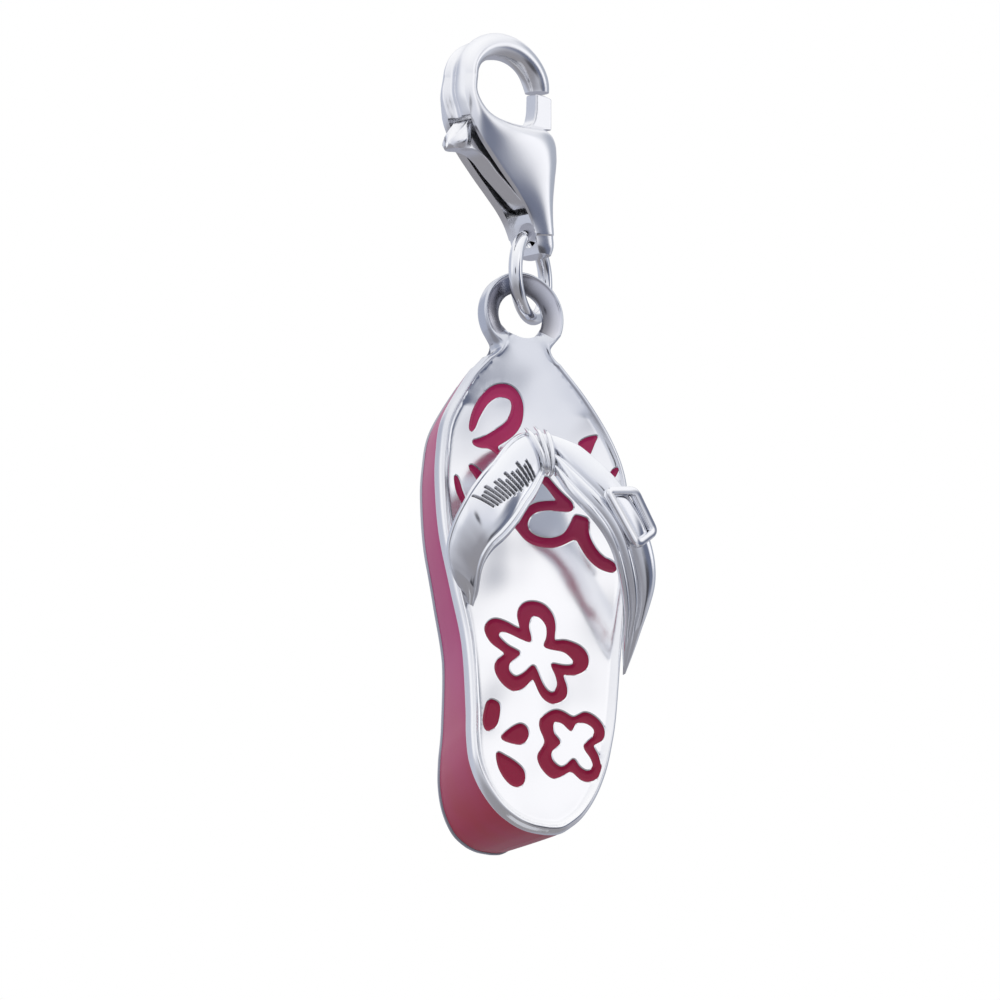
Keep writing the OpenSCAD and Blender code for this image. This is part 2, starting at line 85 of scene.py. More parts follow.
# Finish of the silver: mirror-polished sterling, with the faint clouds and hairlines that a
# polishing wheel leaves. The class and functions here make every other finish too.
class Shade:
    """A socket of a finish. Sums, differences and products of shades add their Math nodes."""

    def __init__(self, tree, socket=None):
        self.tree = tree
        self.socket = socket

    def node(self, kind, sockets=(), out=0, **settings):
        """The output of a new node. Its sockets take shades and plain values."""
        made = self.tree.nodes.new("ShaderNode" + kind)
        for name, value in settings.items():
            if name == "stops":
                set_stops(made.color_ramp, value)
            else:
                setattr(made, name, value)
        for name, value in dict(sockets).items():
            if isinstance(value, Shade):
                self.tree.links.new(value.socket, made.inputs[name])
            else:
                made.inputs[name].default_value = value
        return Shade(self.tree, made.outputs[out] if len(made.outputs) else None)

    def maths(self, operation, *values):
        return self.node("Math", enumerate(values), operation=operation)

    def vector(self, operation, *values, out=0):
        return self.node("VectorMath", enumerate(values), out, operation=operation)

    def noise(self, scale, detail):
        """Clouds at this place, from 0 to 1. The scale counts them along a metre."""
        return self.node("TexNoise", {"Vector": self, "Scale": scale, "Detail": detail})

    def rise(self, low, high):
        """The height of this place: 0 at low and 1 at high, both in millimetres."""
        height = self.node("SeparateXYZ", {"Vector": self}, "Z")
        return (height * (1 / MM) - low) * (1 / (high - low))

    def blend(self, low, high):
        """The colour that runs from low to high as this shade runs from 0 to 1."""
        low, high = [end if isinstance(end, Shade) else (*end, 1) for end in (low, high)]
        return self.node("Mix", {"Factor": self, 6: low, 7: high}, 2, data_type="RGBA")

    def surface(self, sockets):
        """Ends a finish with a surface of these values."""
        self.node("OutputMaterial", {"Surface": self.node("BsdfPrincipled", sockets)})

    def __add__(self, other):
        return self.maths("ADD", self, other)

    def __sub__(self, other):
        return self.maths("SUBTRACT", self, other)

    def __rsub__(self, other):
        return self.maths("SUBTRACT", other, self)

    def __mul__(self, other):
        return self.maths("MULTIPLY", self, other)

    __radd__ = __add__
    __rmul__ = __mul__


def set_stops(ramp, stops):
    """Gives a colour ramp its stops: (place, colour) from 0 to 1."""
    while len(ramp.elements) < len(stops):
        ramp.elements.new(1.0)
    for element, (place, colour) in zip(ramp.elements, stops):
        element.position = place
        element.color = (*colour, 1)


def new_finish(name):
    made = bpy.data.materials.new(name)
    made.use_nodes = True
    made.node_tree.nodes.clear()
    return made, Shade(made.node_tree)


HAIRLINE_SCALE = 9000.0
HAIRLINE_DEEP = 0.01 * MM
WAVE_SCALE = 190.0
CM = 0.01


def silver_finish(
        name, bright, dull_and_shaded, roughness, cloud_scale, hairline, waves=0.0, painted_shade_from=None,
        round_axis=None):
    """Silver between a bright and a dull tone in random clouds. Up through two given heights it turns
    dull as painted shade. round_axis has a point, an axis and the tones of painted shade at distances
    from that axis, in centimetres."""
    made, nodes = new_finish(name)
    place = nodes.node("TexCoord", out="Object")
    cloud = tone = place.noise(cloud_scale, 3.0)
    # Painted shade: darker upwards between the two heights.
    if painted_shade_from:
        tone = nodes.node("Clamp", {"Value": 1.3 * cloud + 0.35 - place.rise(*painted_shade_from)})
    bump = nodes.node("Bump", {
        "Height": place.noise(HAIRLINE_SCALE, 2.0), "Strength": hairline, "Distance": HAIRLINE_DEEP})
    if waves:
        bump = nodes.node("Bump", {
            "Height": place.noise(WAVE_SCALE, 1.0), "Strength": 1.0, "Distance": waves, "Normal": bump})
    colour = tone.blend(dull_and_shaded, bright)
    # Painted shade round an axis, in the tones of its stops.
    if round_axis:
        centre, axis, stops = round_axis
        across = nodes.vector("CROSS_PRODUCT", nodes.vector("SUBTRACT", place, centre), axis)
        radius = nodes.vector("LENGTH", across, out="Value") * (1 / CM)
        tint = nodes.node("ValToRGB", {"Fac": radius + 0.02 * cloud - 0.01}, stops=stops)
        colour = nodes.node(
            "Mix", {"Factor": 1.0, 6: colour, 7: tint}, 2, data_type="RGBA", blend_type="MULTIPLY")
    nodes.surface({
        "Base Color": colour,
        "Metallic": 1.0,
        "Roughness": roughness * (0.6 + 0.8 * cloud),
        "Normal": bump})
    return made


polished_silver = silver_finish(
    "polished_silver", (0.95, 0.95, 0.965), (0.88, 0.89, 0.92), roughness=0.07, cloud_scale=300.0,
    hairline=0.04)


# Sole and toe loop of the flip-flop: one silver casting with a rounded lip, a dished footbed
# with cut pockets, a channel round its side for enamel, and a thin outsole that stands proud.
# The loop for the jump ring grows out of the toe, with a bead round its rim.
CHARM_LEAN = math.radians(6)
LOOP_TO_RING = np.array([0.67, 0.33, 0.09])
joints = {joint["name"]: joint for joint in frame["joints"]}
charm_at = np.array(joints["charm_swing"]["pos_m"]) / MM - LOOP_TO_RING
DECK_Y = -0.55
LIP_H = 0.55
LEFT_SWELL = 0.22
DISH_DEPTH = 0.16
DISH_CROWN = 0.05
LIP_REACH = 0.34
LIP_FOOT = 0.07
SLOPE_REACH = 0.56
SOLE_TAPER = 0.12
OUTSOLE_T = 0.25
OUTSOLE_PROUD = 0.06
BAND_T = 0.34
ENAMEL_GAP = 0.03
POCKET_DEPTH = 0.4
LOOP_R = 2.05
HOLE_R = 1.13
# The channel for the enamel begins at a height and deepens over a length below it
BAND_TOP = -2.4
BAND_RUN = 1.0
# The left side's swell: right end x, its ends z, and the lengths over which it runs out there
SWELL_END_X = -1
SWELL_ENDS = (-24.3, -1.8)
SWELL_RUNS = (3, 1.5)
# Footbed outline. Columns: height z, left edge, right edge
SOLE_OUTLINE = [
    [-1.25, -1.20, 0.95],
    [-2.20, -2.05, 1.74],
    [-3.70, -3.15, 3.00],
    [-5.40, -4.15, 4.10],
    [-7.00, -4.50, 4.74],
    [-8.60, -4.62, 4.90],
    [-10.90, -4.53, 4.80],
    [-13.40, -4.10, 4.50],
    [-16.00, -3.65, 4.10],
    [-18.90, -3.60, 3.70],
    [-20.30, -3.65, 3.40],
    [-21.50, -3.57, 3.05],
    [-22.70, -3.23, 2.50],
    [-23.70, -2.60, 1.80],
    [-24.30, -1.80, 1.10],
    [-24.60, -0.98, 0.55],
    [-24.68, -0.10, -0.10]]
# Shoulders between the loop and the sole. Columns: outer x, z, inner x, z, loop share
LEFT_SHOULDER = [
    [-1.858, -0.866, -1.024, -0.478, 1.0],
    [-1.65, -1.21, -0.8905, -0.6957, 0.92],
    [-1.43, -1.50, -0.86, -1.06, 0.55],
    [-1.38, -1.72, -0.98, -1.46, 0.22],
    [-1.60, -1.98, -1.28, -1.95, 0.05],
    [-2.05, -2.20, -1.774, -2.398, 0.0]]
RIGHT_SHOULDER = [
    [1.858, -0.866, 1.024, -0.478, 1.0],
    [1.60, -1.18, 0.8905, -0.6957, 0.92],
    [1.36, -1.46, 0.85, -1.04, 0.55],
    [1.28, -1.70, 0.92, -1.50, 0.22],
    [1.38, -1.92, 1.08, -1.98, 0.05],
    [1.66, -2.20, 1.384, -2.398, 0.0]]
# Thickness of the sole. Columns: height z, thickness
SOLE_THICKNESS = np.array([
    [0, 1.6], [-2, 2.05], [-4, 2.6], [-8, 2.95], [-12, 3.1],
    [-16, 3.6], [-19, 4.3], [-22, 5.25], [-25, 6.1]])[::-1]
# Section of the sole's edge, from the outsole's back to the lip's foot.
# Columns: inset, depth, 1 where the depth counts from the outsole's back, 1 in the channel
SIDE_SECTION = [
    [0.15, 0, 1, 0], [0.02, -0.02, 1, 0], [-OUTSOLE_PROUD, -0.06, 1, 0],
    [-OUTSOLE_PROUD, 0.06 - OUTSOLE_T, 1, 0], [0.05 - OUTSOLE_PROUD, 0.01 - OUTSOLE_T, 1, 0],
    [0.02, -OUTSOLE_T, 1, 0], [0, -OUTSOLE_T, 1, 1], [0, LIP_H, 0, 1]]
LIP_SECTION = [
    [0, LIP_H], [-0.01, 0.50], [-0.005, 0.40], [0.01, 0.30], [0.04, 0.19], [0.085, 0.10],
    [0.14, 0.04], [0.19, 0.008], [0.235, 0], [0.27, 0.012], [0.30, 0.035], [LIP_REACH, LIP_FOOT]]
# The same for the loop, from the hole's back edge round to its front. Columns: share, depth y
LOOP_SIDE = [
    [1.0, 0.10], [0.90, 0.18], [0.50, 0.30], [0.24, 0.36], [0.12, 0.40], [0.04, 0.36],
    [0, 0.24], [0, 0.10]]
LOOP_FRONT = [
    [0, 0.05], [0, 0.0], [0, -0.12], [0.005, -0.24], [0.03, -0.33], [0.07, -0.39],
    [0.12, -0.41], [0.18, -0.385], [0.24, -0.345], [0.50, -0.26], [0.90, -0.11], [1.0, 0.0]]


def leaned(points, lean):
    """Turns points about X."""
    x, y, z = np.asarray(points, float).T
    c, s = math.cos(lean), math.sin(lean)
    return np.column_stack([x, y * c + z * s, z * c - y * s])


def in_charm(points):
    """Leans points of the flip-flop back and hangs them under the jump ring."""
    return leaned(points, CHARM_LEAN) + charm_at


def out_of_charm(points):
    return leaned(points - charm_at, -CHARM_LEAN)


def through(rows, steps):
    """Points of a smooth curve through the rows of a table."""
    p = np.array(rows, float)
    made = []
    for i in range(len(p) - 1):
        a, b, c, d = p[max(i - 1, 0)], p[i], p[i + 1], p[min(i + 2, len(p) - 1)]
        for t in np.arange(steps) / steps:
            cubic = (3 * b - a - 3 * c + d) * t ** 3
            made.append(0.5 * (2 * b + (c - a) * t + (2 * a - 5 * b + 4 * c - d) * t * t + cubic))
    return np.array([*made, p[-1]])


def unit(v):
    return v / np.maximum(np.linalg.norm(v, axis=-1, keepdims=True), 1e-9)


def ease(t):
    t = np.clip(t, 0, 1)
    return t * t * (3 - 2 * t)


def arc(turns, radius=1.0, centre=(0, 0)):
    """Points of a circle at those turns."""
    return np.asarray(centre) + radius * np.column_stack([np.cos(turns), np.sin(turns)])


def sheet_faces(rows, columns, closed=False, ring=False):
    """Quads of a grid of points, row by row. A closed grid joins its last column to its first,
    and a ring joins its last row to its first."""
    faces = []
    for r in range(rows if ring else rows - 1):
        for c in range(columns if closed else columns - 1):
            a, b = r * columns + c, r * columns + (c + 1) % columns
            faces.append((a, b, (b + columns) % (rows * columns), (a + columns) % (rows * columns)))
    return faces


WELD = 0.0005


def welded_mesh(name, points, faces, size, second_faces=()):
    """A mesh from points in a unit of that size, with its faces turned out."""
    mesh = bpy.data.meshes.new(name)
    mesh.from_pydata((np.asarray(points) * size).tolist(), [], faces)
    for number in second_faces:
        mesh.polygons[number].material_index = 1
    work = bmesh.new()
    work.from_mesh(mesh)
    bmesh.ops.remove_doubles(work, verts=work.verts, dist=WELD * size)
    bmesh.ops.delete(work, geom=[v for v in work.verts if not v.link_faces], context="VERTS")
    bmesh.ops.recalc_face_normals(work, faces=work.faces)
    work.to_mesh(mesh)
    work.free()
    return mesh


def make_piece(name, body, finish, points, faces, sharp_angle=32, second=None, second_faces=()):
    """A piece from points in millimetres, riding on a body. Some faces may have a second finish."""
    mesh = welded_mesh(name, points, faces, MM, second_faces)
    mesh.polygons.foreach_set("use_smooth", [True] * len(mesh.polygons))
    mesh.set_sharp_from_angle(angle=math.radians(sharp_angle))
    made = new_object(name, mesh)
    mesh.materials.append(finish)
    if second:
        mesh.materials.append(second)
    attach(made, body)
    return made


def nearest(points, line):
    """Distance from each point to the nearest point of the line."""
    tree = kdtree.KDTree(len(line))
    for i, p in enumerate(line):
        tree.insert((*p, 0), i)
    tree.balance()
    return np.array([tree.find((*p, 0))[2] for p in points])


def inside(points, lines):
    """True for each point that an odd number of the closed lines goes round."""
    found = np.zeros(len(points), bool)
    x, z = points.T
    for line in lines:
        for a, b in zip(line, np.roll(line, -1, axis=0)):
            if a[1] != b[1]:
                crosses = (a[1] > z) != (b[1] > z)
                found ^= crosses & (x < a[0] + (z - a[1]) * (b[0] - a[0]) / (b[1] - a[1]))
    return found


ROW_STEP = 0.866


def flat_area(borders, lines, spacing, clear_of):
    """The area inside closed borders, in even triangles that keep to further closed lines: points,
    triangles, and which of the lines' points each point was."""
    everything = np.vstack(borders)
    low, high = everything.min(0), everything.max(0)
    field = []
    for i, z in enumerate(np.arange(low[1], high[1], spacing * ROW_STEP)):
        x = np.arange(low[0], high[0], spacing) + (i % 2) * spacing / 2
        field.append(np.column_stack([x, np.full(len(x), z)]))
    field = np.vstack(field)
    field = field[inside(field, borders)]
    field = field[nearest(field, np.vstack([*borders, *lines])) > clear_of]
    points, edges = [], []
    for line in [*borders, *lines]:
        first = len(points)
        points += [Vector(p) for p in line]
        edges += [(first + i, first + (i + 1) % len(line)) for i in range(len(line))]
    points += [Vector(p) for p in field]
    made, _, faces, origins, _, _ = delaunay_2d_cdt(points, edges, [], 0, 1e-5)
    flat, triangles = np.array([tuple(p) for p in made]), np.array(faces)
    return flat, triangles[inside(flat[triangles].mean(axis=1), borders)], origins


def edges_of(triangles):
    """Each triangle's edges in its own direction."""
    return {(a, b) for t in triangles for a, b in zip(t, np.roll(t, -1))}


# Stations round the sole and the loop. Columns: outer x, z, inner x, z, loop share
LOOP_DEGREES = np.arange(-25, 206, 3.0)
sole_rows = through(SOLE_OUTLINE, 10)[10:]
sole_edge = np.vstack([sole_rows[:, [1, 0]], sole_rows[-2::-1, [2, 0]]])
edge_run = unit(
    np.vstack([sole_edge[1:], sole_edge[-1:]]) - np.vstack([sole_edge[:1], sole_edge[:-1]]))
edge_inward = np.column_stack([-edge_run[:, 1], edge_run[:, 0]])
sole_stations = np.column_stack([
    sole_edge, sole_edge + LIP_REACH * edge_inward, np.zeros(len(sole_edge))])
left_shoulder, right_shoulder = through(LEFT_SHOULDER, 5), through(RIGHT_SHOULDER, 5)
loop_way = arc(np.radians(LOOP_DEGREES))
loop_stations = np.column_stack([LOOP_R * loop_way, HOLE_R * loop_way, np.ones(len(loop_way))])
stations = np.vstack([
    left_shoulder[:-1], sole_stations, right_shoulder[-2::-1], loop_stations[1:-1]])
outer, inner, loop_share = stations[:, :2], stations[:, 2:4], stations[:, 4]
ring_n = len(stations)


def thickness(z):
    return np.interp(z, *SOLE_THICKNESS.T)


def side_place(z, inset, depth, from_back, channel):
    """Depth of a line round the sole at heights z, and how far it lies inside the outline."""
    at = depth + from_back * thickness(z)
    in_band = np.clip((BAND_TOP - z) / BAND_RUN, 0, 1)
    return at, inset + SOLE_TAPER * np.maximum(0, at - LIP_H) + channel * in_band


def left_swell(flat, at):
    """How far the sole's left side stands out at a depth: most at the lip, nothing at the back."""
    x, z = flat.T
    share = 1 - np.clip((at - LIP_H) / (thickness(z) - LIP_H), 0, 1)
    ends = ease((z - SWELL_ENDS[0]) / SWELL_RUNS[0]) * ease((SWELL_ENDS[1] - z) / SWELL_RUNS[1])
    return LEFT_SWELL * (x < SWELL_END_X) * ends * share


def edge_ring(inset, depth, from_back, in_channel, share, loop_y):
    """A line round the sole and the loop, from its place in the two sections."""
    at, pull = side_place(outer[:, 1], inset, depth, from_back, in_channel * (BAND_T + ENAMEL_GAP))
    place = (1 - loop_share) * pull / LIP_REACH + loop_share * share
    flat = outer + place[:, None] * (inner - outer)
    flat[:, 0] -= left_swell(outer, at)
    deep = loop_share if from_back else loop_share ** 3
    return np.column_stack([flat[:, 0], (1 - deep) * (DECK_Y + at) + deep * loop_y, flat[:, 1]])


rings = [edge_ring(*sole, *loop) for sole, loop in zip(SIDE_SECTION, LOOP_SIDE)]
for sole, loop in zip(through(LIP_SECTION, 3), through(LOOP_FRONT, 3)):
    rings.append(edge_ring(*sole, 0, 0, *loop))
fine_rows = through(SOLE_OUTLINE, 60)
sole_edge_fine = np.vstack([fine_rows[:, [1, 0]], fine_rows[::-1, [2, 0]]])
sole_edge_fine[:, 0] -= left_swell(sole_edge_fine, 0)
CROWN_REACH = 3.0


def dish_depth(flat):
    """Depth of the footbed: it slopes down from the lip's foot, then dips a little more."""
    from_foot = nearest(flat, sole_edge_fine) - LIP_REACH
    slope = LIP_FOOT + (DISH_DEPTH - LIP_FOOT) * np.sin(
        math.pi / 2 * np.clip(from_foot / (SLOPE_REACH - LIP_REACH), 0, 1))
    return slope + DISH_CROWN * ease(from_foot / CROWN_REACH)


def node_outlines(name):
    """Outlines (x, z) of an enamel node's front face, with the enamel on their left."""
    mesh = frame["nodes"][name].data
    points = out_of_charm(np.array([v.co for v in mesh.vertices]) / MM)
    front = points[:, 1] < points[:, 1].min() + 0.005
    mesh.calc_loop_triangles()
    corner = [tuple(p) for p in np.round(points[:, [0, 2]], 3)]
    steps = set()
    for triangle in mesh.loop_triangles:
        a, b, c = triangle.vertices
        if front[a] and front[b] and front[c]:
            steps |= {(corner[a], corner[b]), (corner[b], corner[c]), (corner[c], corner[a])}
    after = {a: b for a, b in steps if (b, a) not in steps and a != b}
    outlines = []
    while after:
        here, line = next(iter(after)), []
        while here in after:
            line.append(here)
            here = after.pop(here)
        outlines.append(np.array(line))
    return outlines


def even_steps(line, count):
    """Points in even steps along an open line."""
    along = np.concatenate([[0], np.cumsum(np.linalg.norm(np.diff(line, axis=0), axis=1))])
    marks = np.linspace(0, along[-1], count)
    return np.column_stack([np.interp(marks, along, column) for column in line.T])


def rounded_outline(line, spacing=0.07):
    """A closed line with its corners cut twice, in even steps."""
    for _ in range(2):
        after = np.roll(line, -1, axis=0)
        line = np.stack([0.75 * line + 0.25 * after, 0.25 * line + 0.75 * after], axis=1).reshape(-1, 2)
    closed = np.vstack([line, line[:1]])
    long = np.linalg.norm(np.diff(closed, axis=0), axis=1).sum()
    return even_steps(closed, max(8, int(long / spacing)) + 1)[:-1]


def turns_left(line):
    """True for a closed line that goes round to the left."""
    ahead = np.roll(line, -1, axis=0)
    return np.sum(line[:, 0] * ahead[:, 1] - line[:, 1] * ahead[:, 0]) > 0


def widened(line, by):
    """A closed line moved away from the area on its left."""
    run = unit(np.roll(line, -1, axis=0) - np.roll(line, 1, axis=0))
    return line + by * np.column_stack([run[:, 1], -run[:, 0]])


# Each pocket is a little wider than its enamel, with a bevel round its rim
POCKET_WIDER = 0.02
BEVEL_WIDE = 0.05
BEVEL_DEEP = 0.04
# Outlines of the toe flower's parts, closer than the solids'. Columns: x, z
TOE_OUTLINES = {
    "enamel_toe_petal": [
        [-3.11, -5.84], [-3.01, -5.33], [-2.84, -4.86], [-2.57, -4.38], [-2.20, -3.93], [-1.84, -3.62],
        [-1.35, -3.45], [-0.86, -3.48], [-0.49, -3.76], [-0.27, -4.24], [-0.27, -4.79], [-0.42, -5.35],
        [-0.79, -5.84], [-1.30, -6.21], [-1.75, -6.49], [-1.52, -6.74], [-1.68, -6.89], [-1.91, -6.68],
        [-2.20, -6.57], [-2.59, -6.61], [-2.93, -6.51], [-2.96, -6.31], [-2.77, -6.27], [-2.37, -6.09],
        [-1.86, -5.77], [-1.30, -5.39], [-0.99, -5.04], [-0.82, -4.57], [-0.85, -4.21], [-1.09, -4.07],
        [-1.43, -4.06], [-1.78, -4.21], [-2.14, -4.52], [-2.40, -4.91], [-2.62, -5.29], [-2.78, -5.68],
        [-2.94, -5.89],],
    "enamel_toe_leaf_left": [
        [-3.20, -7.50], [-2.98, -7.50], [-2.74, -7.68], [-2.46, -7.88], [-2.63, -8.31], [-2.82, -8.16],
        [-3.00, -7.89], [-3.18, -7.68],],
    "enamel_toe_curl_left": [
        [-3.99, -8.09], [-3.84, -8.11], [-3.71, -8.41], [-3.63, -8.77], [-3.46, -9.16], [-3.57, -9.45],
        [-3.84, -9.06], [-3.96, -8.62],],
    "enamel_toe_leaf_right": [
        [2.40, -5.98], [2.73, -5.68], [3.13, -5.52], [3.52, -5.44], [3.31, -5.80], [3.14, -6.18],
        [3.03, -6.42], [2.70, -6.23],],
    "enamel_toe_scroll": [
        [0.42, -7.87], [0.77, -7.62], [1.05, -7.94], [1.51, -8.40], [1.93, -8.72], [2.07, -8.93],
        [1.96, -9.22], [1.47, -9.25], [0.88, -9.23], [0.29, -9.34], [-0.11, -9.56], [-0.34, -9.90],
        [-0.36, -10.22], [-0.16, -10.48], [0.32, -10.64], [0.91, -10.60], [1.41, -10.41],
        [1.72, -10.06], [1.99, -9.58], [2.10, -9.37], [2.39, -9.38], [2.82, -9.50], [2.75, -9.87],
        [2.78, -10.32], [3.04, -10.84], [3.41, -11.26], [3.89, -11.40], [4.12, -11.65], [4.01, -11.92],
        [3.57, -11.91], [3.09, -11.75], [2.62, -11.34], [2.31, -10.83], [2.13, -10.48], [1.78, -10.65],
        [1.28, -10.93], [0.79, -11.04], [0.10, -11.03], [-0.47, -10.83], [-0.84, -10.41],
        [-1.07, -10.16], [-0.75, -9.67], [-0.29, -9.21], [0.22, -8.94], [0.81, -8.83], [1.25, -8.79],
        [1.02, -8.49], [0.74, -8.15],]}
outlines = {name: node_outlines(name) for name in frame["nodes"] if name.startswith("enamel_")}
for name, rows in TOE_OUTLINES.items():
    line, solid_line = np.array(rows), outlines[name][0]
    outlines[name] = [line if turns_left(line) == turns_left(solid_line) else line[::-1]]
outlines = {name: [rounded_outline(line) for line in lines] for name, lines in outlines.items()}
pocket_lines = [widened(line, POCKET_WIDER) for lines in outlines.values() for line in lines]
bevel_lines = [widened(line, BEVEL_WIDE) for line in pocket_lines]

# The footbed's area: inside the lip's foot and under the hole
HOLE_START = 5
HOLE_LOW_DEGREES = np.arange(221, 323, 4)
last_sole = len(left_shoulder) - 1 + len(sole_stations) + len(right_shoulder) - 2
hole_arc = arc(np.radians(HOLE_LOW_DEGREES), HOLE_R)
rim_numbers = np.arange(HOLE_START, last_sole - HOLE_START + 1)
ARC_RUN = 7


def relaxed(flat, triangles, height, fixed, rounds):
    """Heights with every free point drawn to the mean of its neighbours."""
    pairs = edges_of(triangles)
    pairs |= {(b, a) for a, b in pairs}
    source, target = np.array(sorted(pairs)).T
    count = np.maximum(np.bincount(source, minlength=len(flat)), 1)
    for _ in range(rounds):
        mean = np.bincount(source, weights=height[target], minlength=len(flat)) / count
        height = np.where(fixed, height, mean)
    return height


def filled(ring, arc_y, lines, spacing, free_above, height_of):
    """The face inside a ring and under the hole: points, triangles, each point's place on the
    border, origins, and the border's length. Its toe is drawn smooth between the edges."""
    border = np.vstack([ring[rim_numbers][:, [0, 2]], hole_arc[::-1]])
    flat, triangles, origins = flat_area([border], lines, spacing, spacing * 0.5)
    place = np.array([o[0] if o and o[0] < len(border) else -1 for o in origins])
    on_border = place >= 0
    number = np.arange(len(hole_arc))
    arc_share = ease(np.minimum(number, number[::-1]) / ARC_RUN)
    arc_ends = np.mean(ring[rim_numbers[[0, -1]], 1])
    border_y = np.concatenate([ring[rim_numbers, 1], arc_share * arc_y + (1 - arc_share) * arc_ends])
    height = height_of(flat)
    height[on_border] = border_y[place[on_border]]
    for top, rounds in [(free_above, 300), (free_above - 2, 60)]:
        height = relaxed(flat, triangles, height, on_border | (flat[:, 1] < top), rounds)
    return np.column_stack([flat[:, 0], height, flat[:, 1]]), triangles, place, origins, len(border)


top, triangles, top_place, origins, border_n = filled(
    rings[-1], arc_y=-0.33, lines=[*bevel_lines, *pocket_lines], spacing=0.13, free_above=-2.6,
    height_of=lambda flat: DECK_Y + dish_depth(flat))
back, back_triangles, back_place, _, _ = filled(
    rings[0], arc_y=0.30, lines=[], spacing=0.45, free_above=-2.0,
    height_of=lambda flat: DECK_Y + thickness(flat[:, 1]))
pocket_first = border_n + sum(map(len, bevel_lines))
pocket_numbers = range(pocket_first, pocket_first + sum(map(len, pocket_lines)))
is_rim = np.array([any(i in pocket_numbers for i in o) for o in origins])
in_pocket = inside(top[triangles][:, :, [0, 2]].mean(axis=1), pocket_lines)
top[is_rim, 1] += BEVEL_DEEP
floor = top + [0, POCKET_DEPTH, 0]
top_first = len(rings) * ring_n
floor_first = top_first + len(top)
back_first = floor_first + len(floor)
sole_points = np.vstack([*rings, top, floor, back])
sole_faces = sheet_faces(len(rings), ring_n, closed=True)
for first, kept in [
        (top_first, triangles[~in_pocket]), (floor_first, triangles[in_pocket]),
        (back_first, back_triangles)]:
    sole_faces += [tuple(first + t) for t in kept]
pocket_edges = edges_of(triangles[in_pocket])
sole_faces += [
    (top_first + b, top_first + a, floor_first + a, floor_first + b)
    for a, b in edges_of(triangles[~in_pocket]) if (b, a) in pocket_edges]
# The hole's wall joins the front's edge to the back's all the way round
front_of = {p: top_first + i for i, p in enumerate(top_place) if p >= 0}
back_of = {p: back_first + i for i, p in enumerate(back_place) if p >= 0}
rim_n = len(rim_numbers)
low_half = [rim_n - 1, *range(rim_n, rim_n + len(hole_arc)), 0]
high_half = [i % ring_n for i in range(rim_numbers[0] + ring_n, rim_numbers[-1] - 1, -1)]
front_line = [front_of[p] for p in low_half] + [(len(rings) - 1) * ring_n + i for i in high_half]
back_line = [back_of[p] for p in low_half] + high_half
sole_faces += [
    (front_line[i], front_line[i + 1], back_line[i + 1], back_line[i])
    for i in range(len(front_line) - 1)]
# The footbed's silver is painted greyer towards the toe: painted shade.
footbed_silver = silver_finish(
    "footbed_silver", (0.95, 0.95, 0.965), (0.69, 0.71, 0.77), roughness=0.16, cloud_scale=160.0,
    hairline=0.04, waves=0.45 * MM, painted_shade_from=(-22.0, -14.0))
# The cone round the loop's hole and the outsole's rim get painted shade, darker towards the hole
loop_centre, loop_front = in_charm(np.array([[0, 0, 0], [0, -1.0, 0]]))
shadowed_silver = silver_finish(
    "shadowed_silver", (0.95, 0.95, 1.0), (0.80, 0.80, 0.85), roughness=0.2, cloud_scale=420.0,
    hairline=0.1, round_axis=(tuple(loop_centre * MM), tuple(unit(loop_front - loop_centre)), [
        (0.110, (0.20, 0.20, 0.21)), (0.135, (0.34, 0.34, 0.36)), (0.160, (0.66, 0.66, 0.68)),
        (0.190, (0.90, 0.90, 0.93)), (0.30, (0.50, 0.50, 0.53))]))
CONE_RINGS = range(len(SIDE_SECTION) + 22, len(rings) - 1)
RIM_RINGS = range(1, 5)
RIM_TOP_Z = -3
on_loop = np.nonzero(loop_share > 0.9)[0]
on_sole = np.nonzero((loop_share == 0) & (outer[:, 1] < RIM_TOP_Z))[0]
shadowed = [
    r * ring_n + i for part, numbers in [(CONE_RINGS, on_loop), (RIM_RINGS, on_sole)]
    for r in part for i in numbers]
footbed = make_piece(
    "footbed", "charm", footbed_silver, in_charm(sole_points), sole_faces,
    second=shadowed_silver, second_faces=shadowed)
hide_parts("charm_casting")
# Where the loop runs into the toe, the polishing wheel has melted the edges together. The
# slits that are left along the seams of the mesh are filled.
MELTED_ROUNDS = 14
MELTED_X = (0.45, 1.7)
MELTED_Z = (-2.25, -0.55)
MELTED_FRONT_Y = 0.02
HOLE_CLEAR_R = 1.15
work = bmesh.new()
work.from_mesh(footbed.data)
x, y, z = out_of_charm(np.array([v.co for v in work.verts]) / MM).T
melted = (y < MELTED_FRONT_Y) & (np.hypot(x, z) > HOLE_CLEAR_R)
for value, (low, high) in [(abs(x), MELTED_X), (z, MELTED_Z)]:
    melted &= (value > low) & (value < high)
melted_verts = [v for v, soft in zip(work.verts, melted) if soft]
for _ in range(MELTED_ROUNDS):
    bmesh.ops.smooth_vert(
        work, verts=melted_verts, factor=0.5, use_axis_x=True, use_axis_y=True, use_axis_z=True)
bmesh.ops.holes_fill(work, edges=[edge for edge in work.edges if edge.is_boundary])
work.to_mesh(footbed.data)
work.free()


# Enamel round the side of the sole: pink glass fired into the channel, and ground flush with
# the lip. Its colour is painted deeper and redder low down, towards the heel: painted shade.
SIDE_PINK = (0.58, 0.05, 0.22)
SIDE_SHADED = (0.49, 0.03, 0.06)


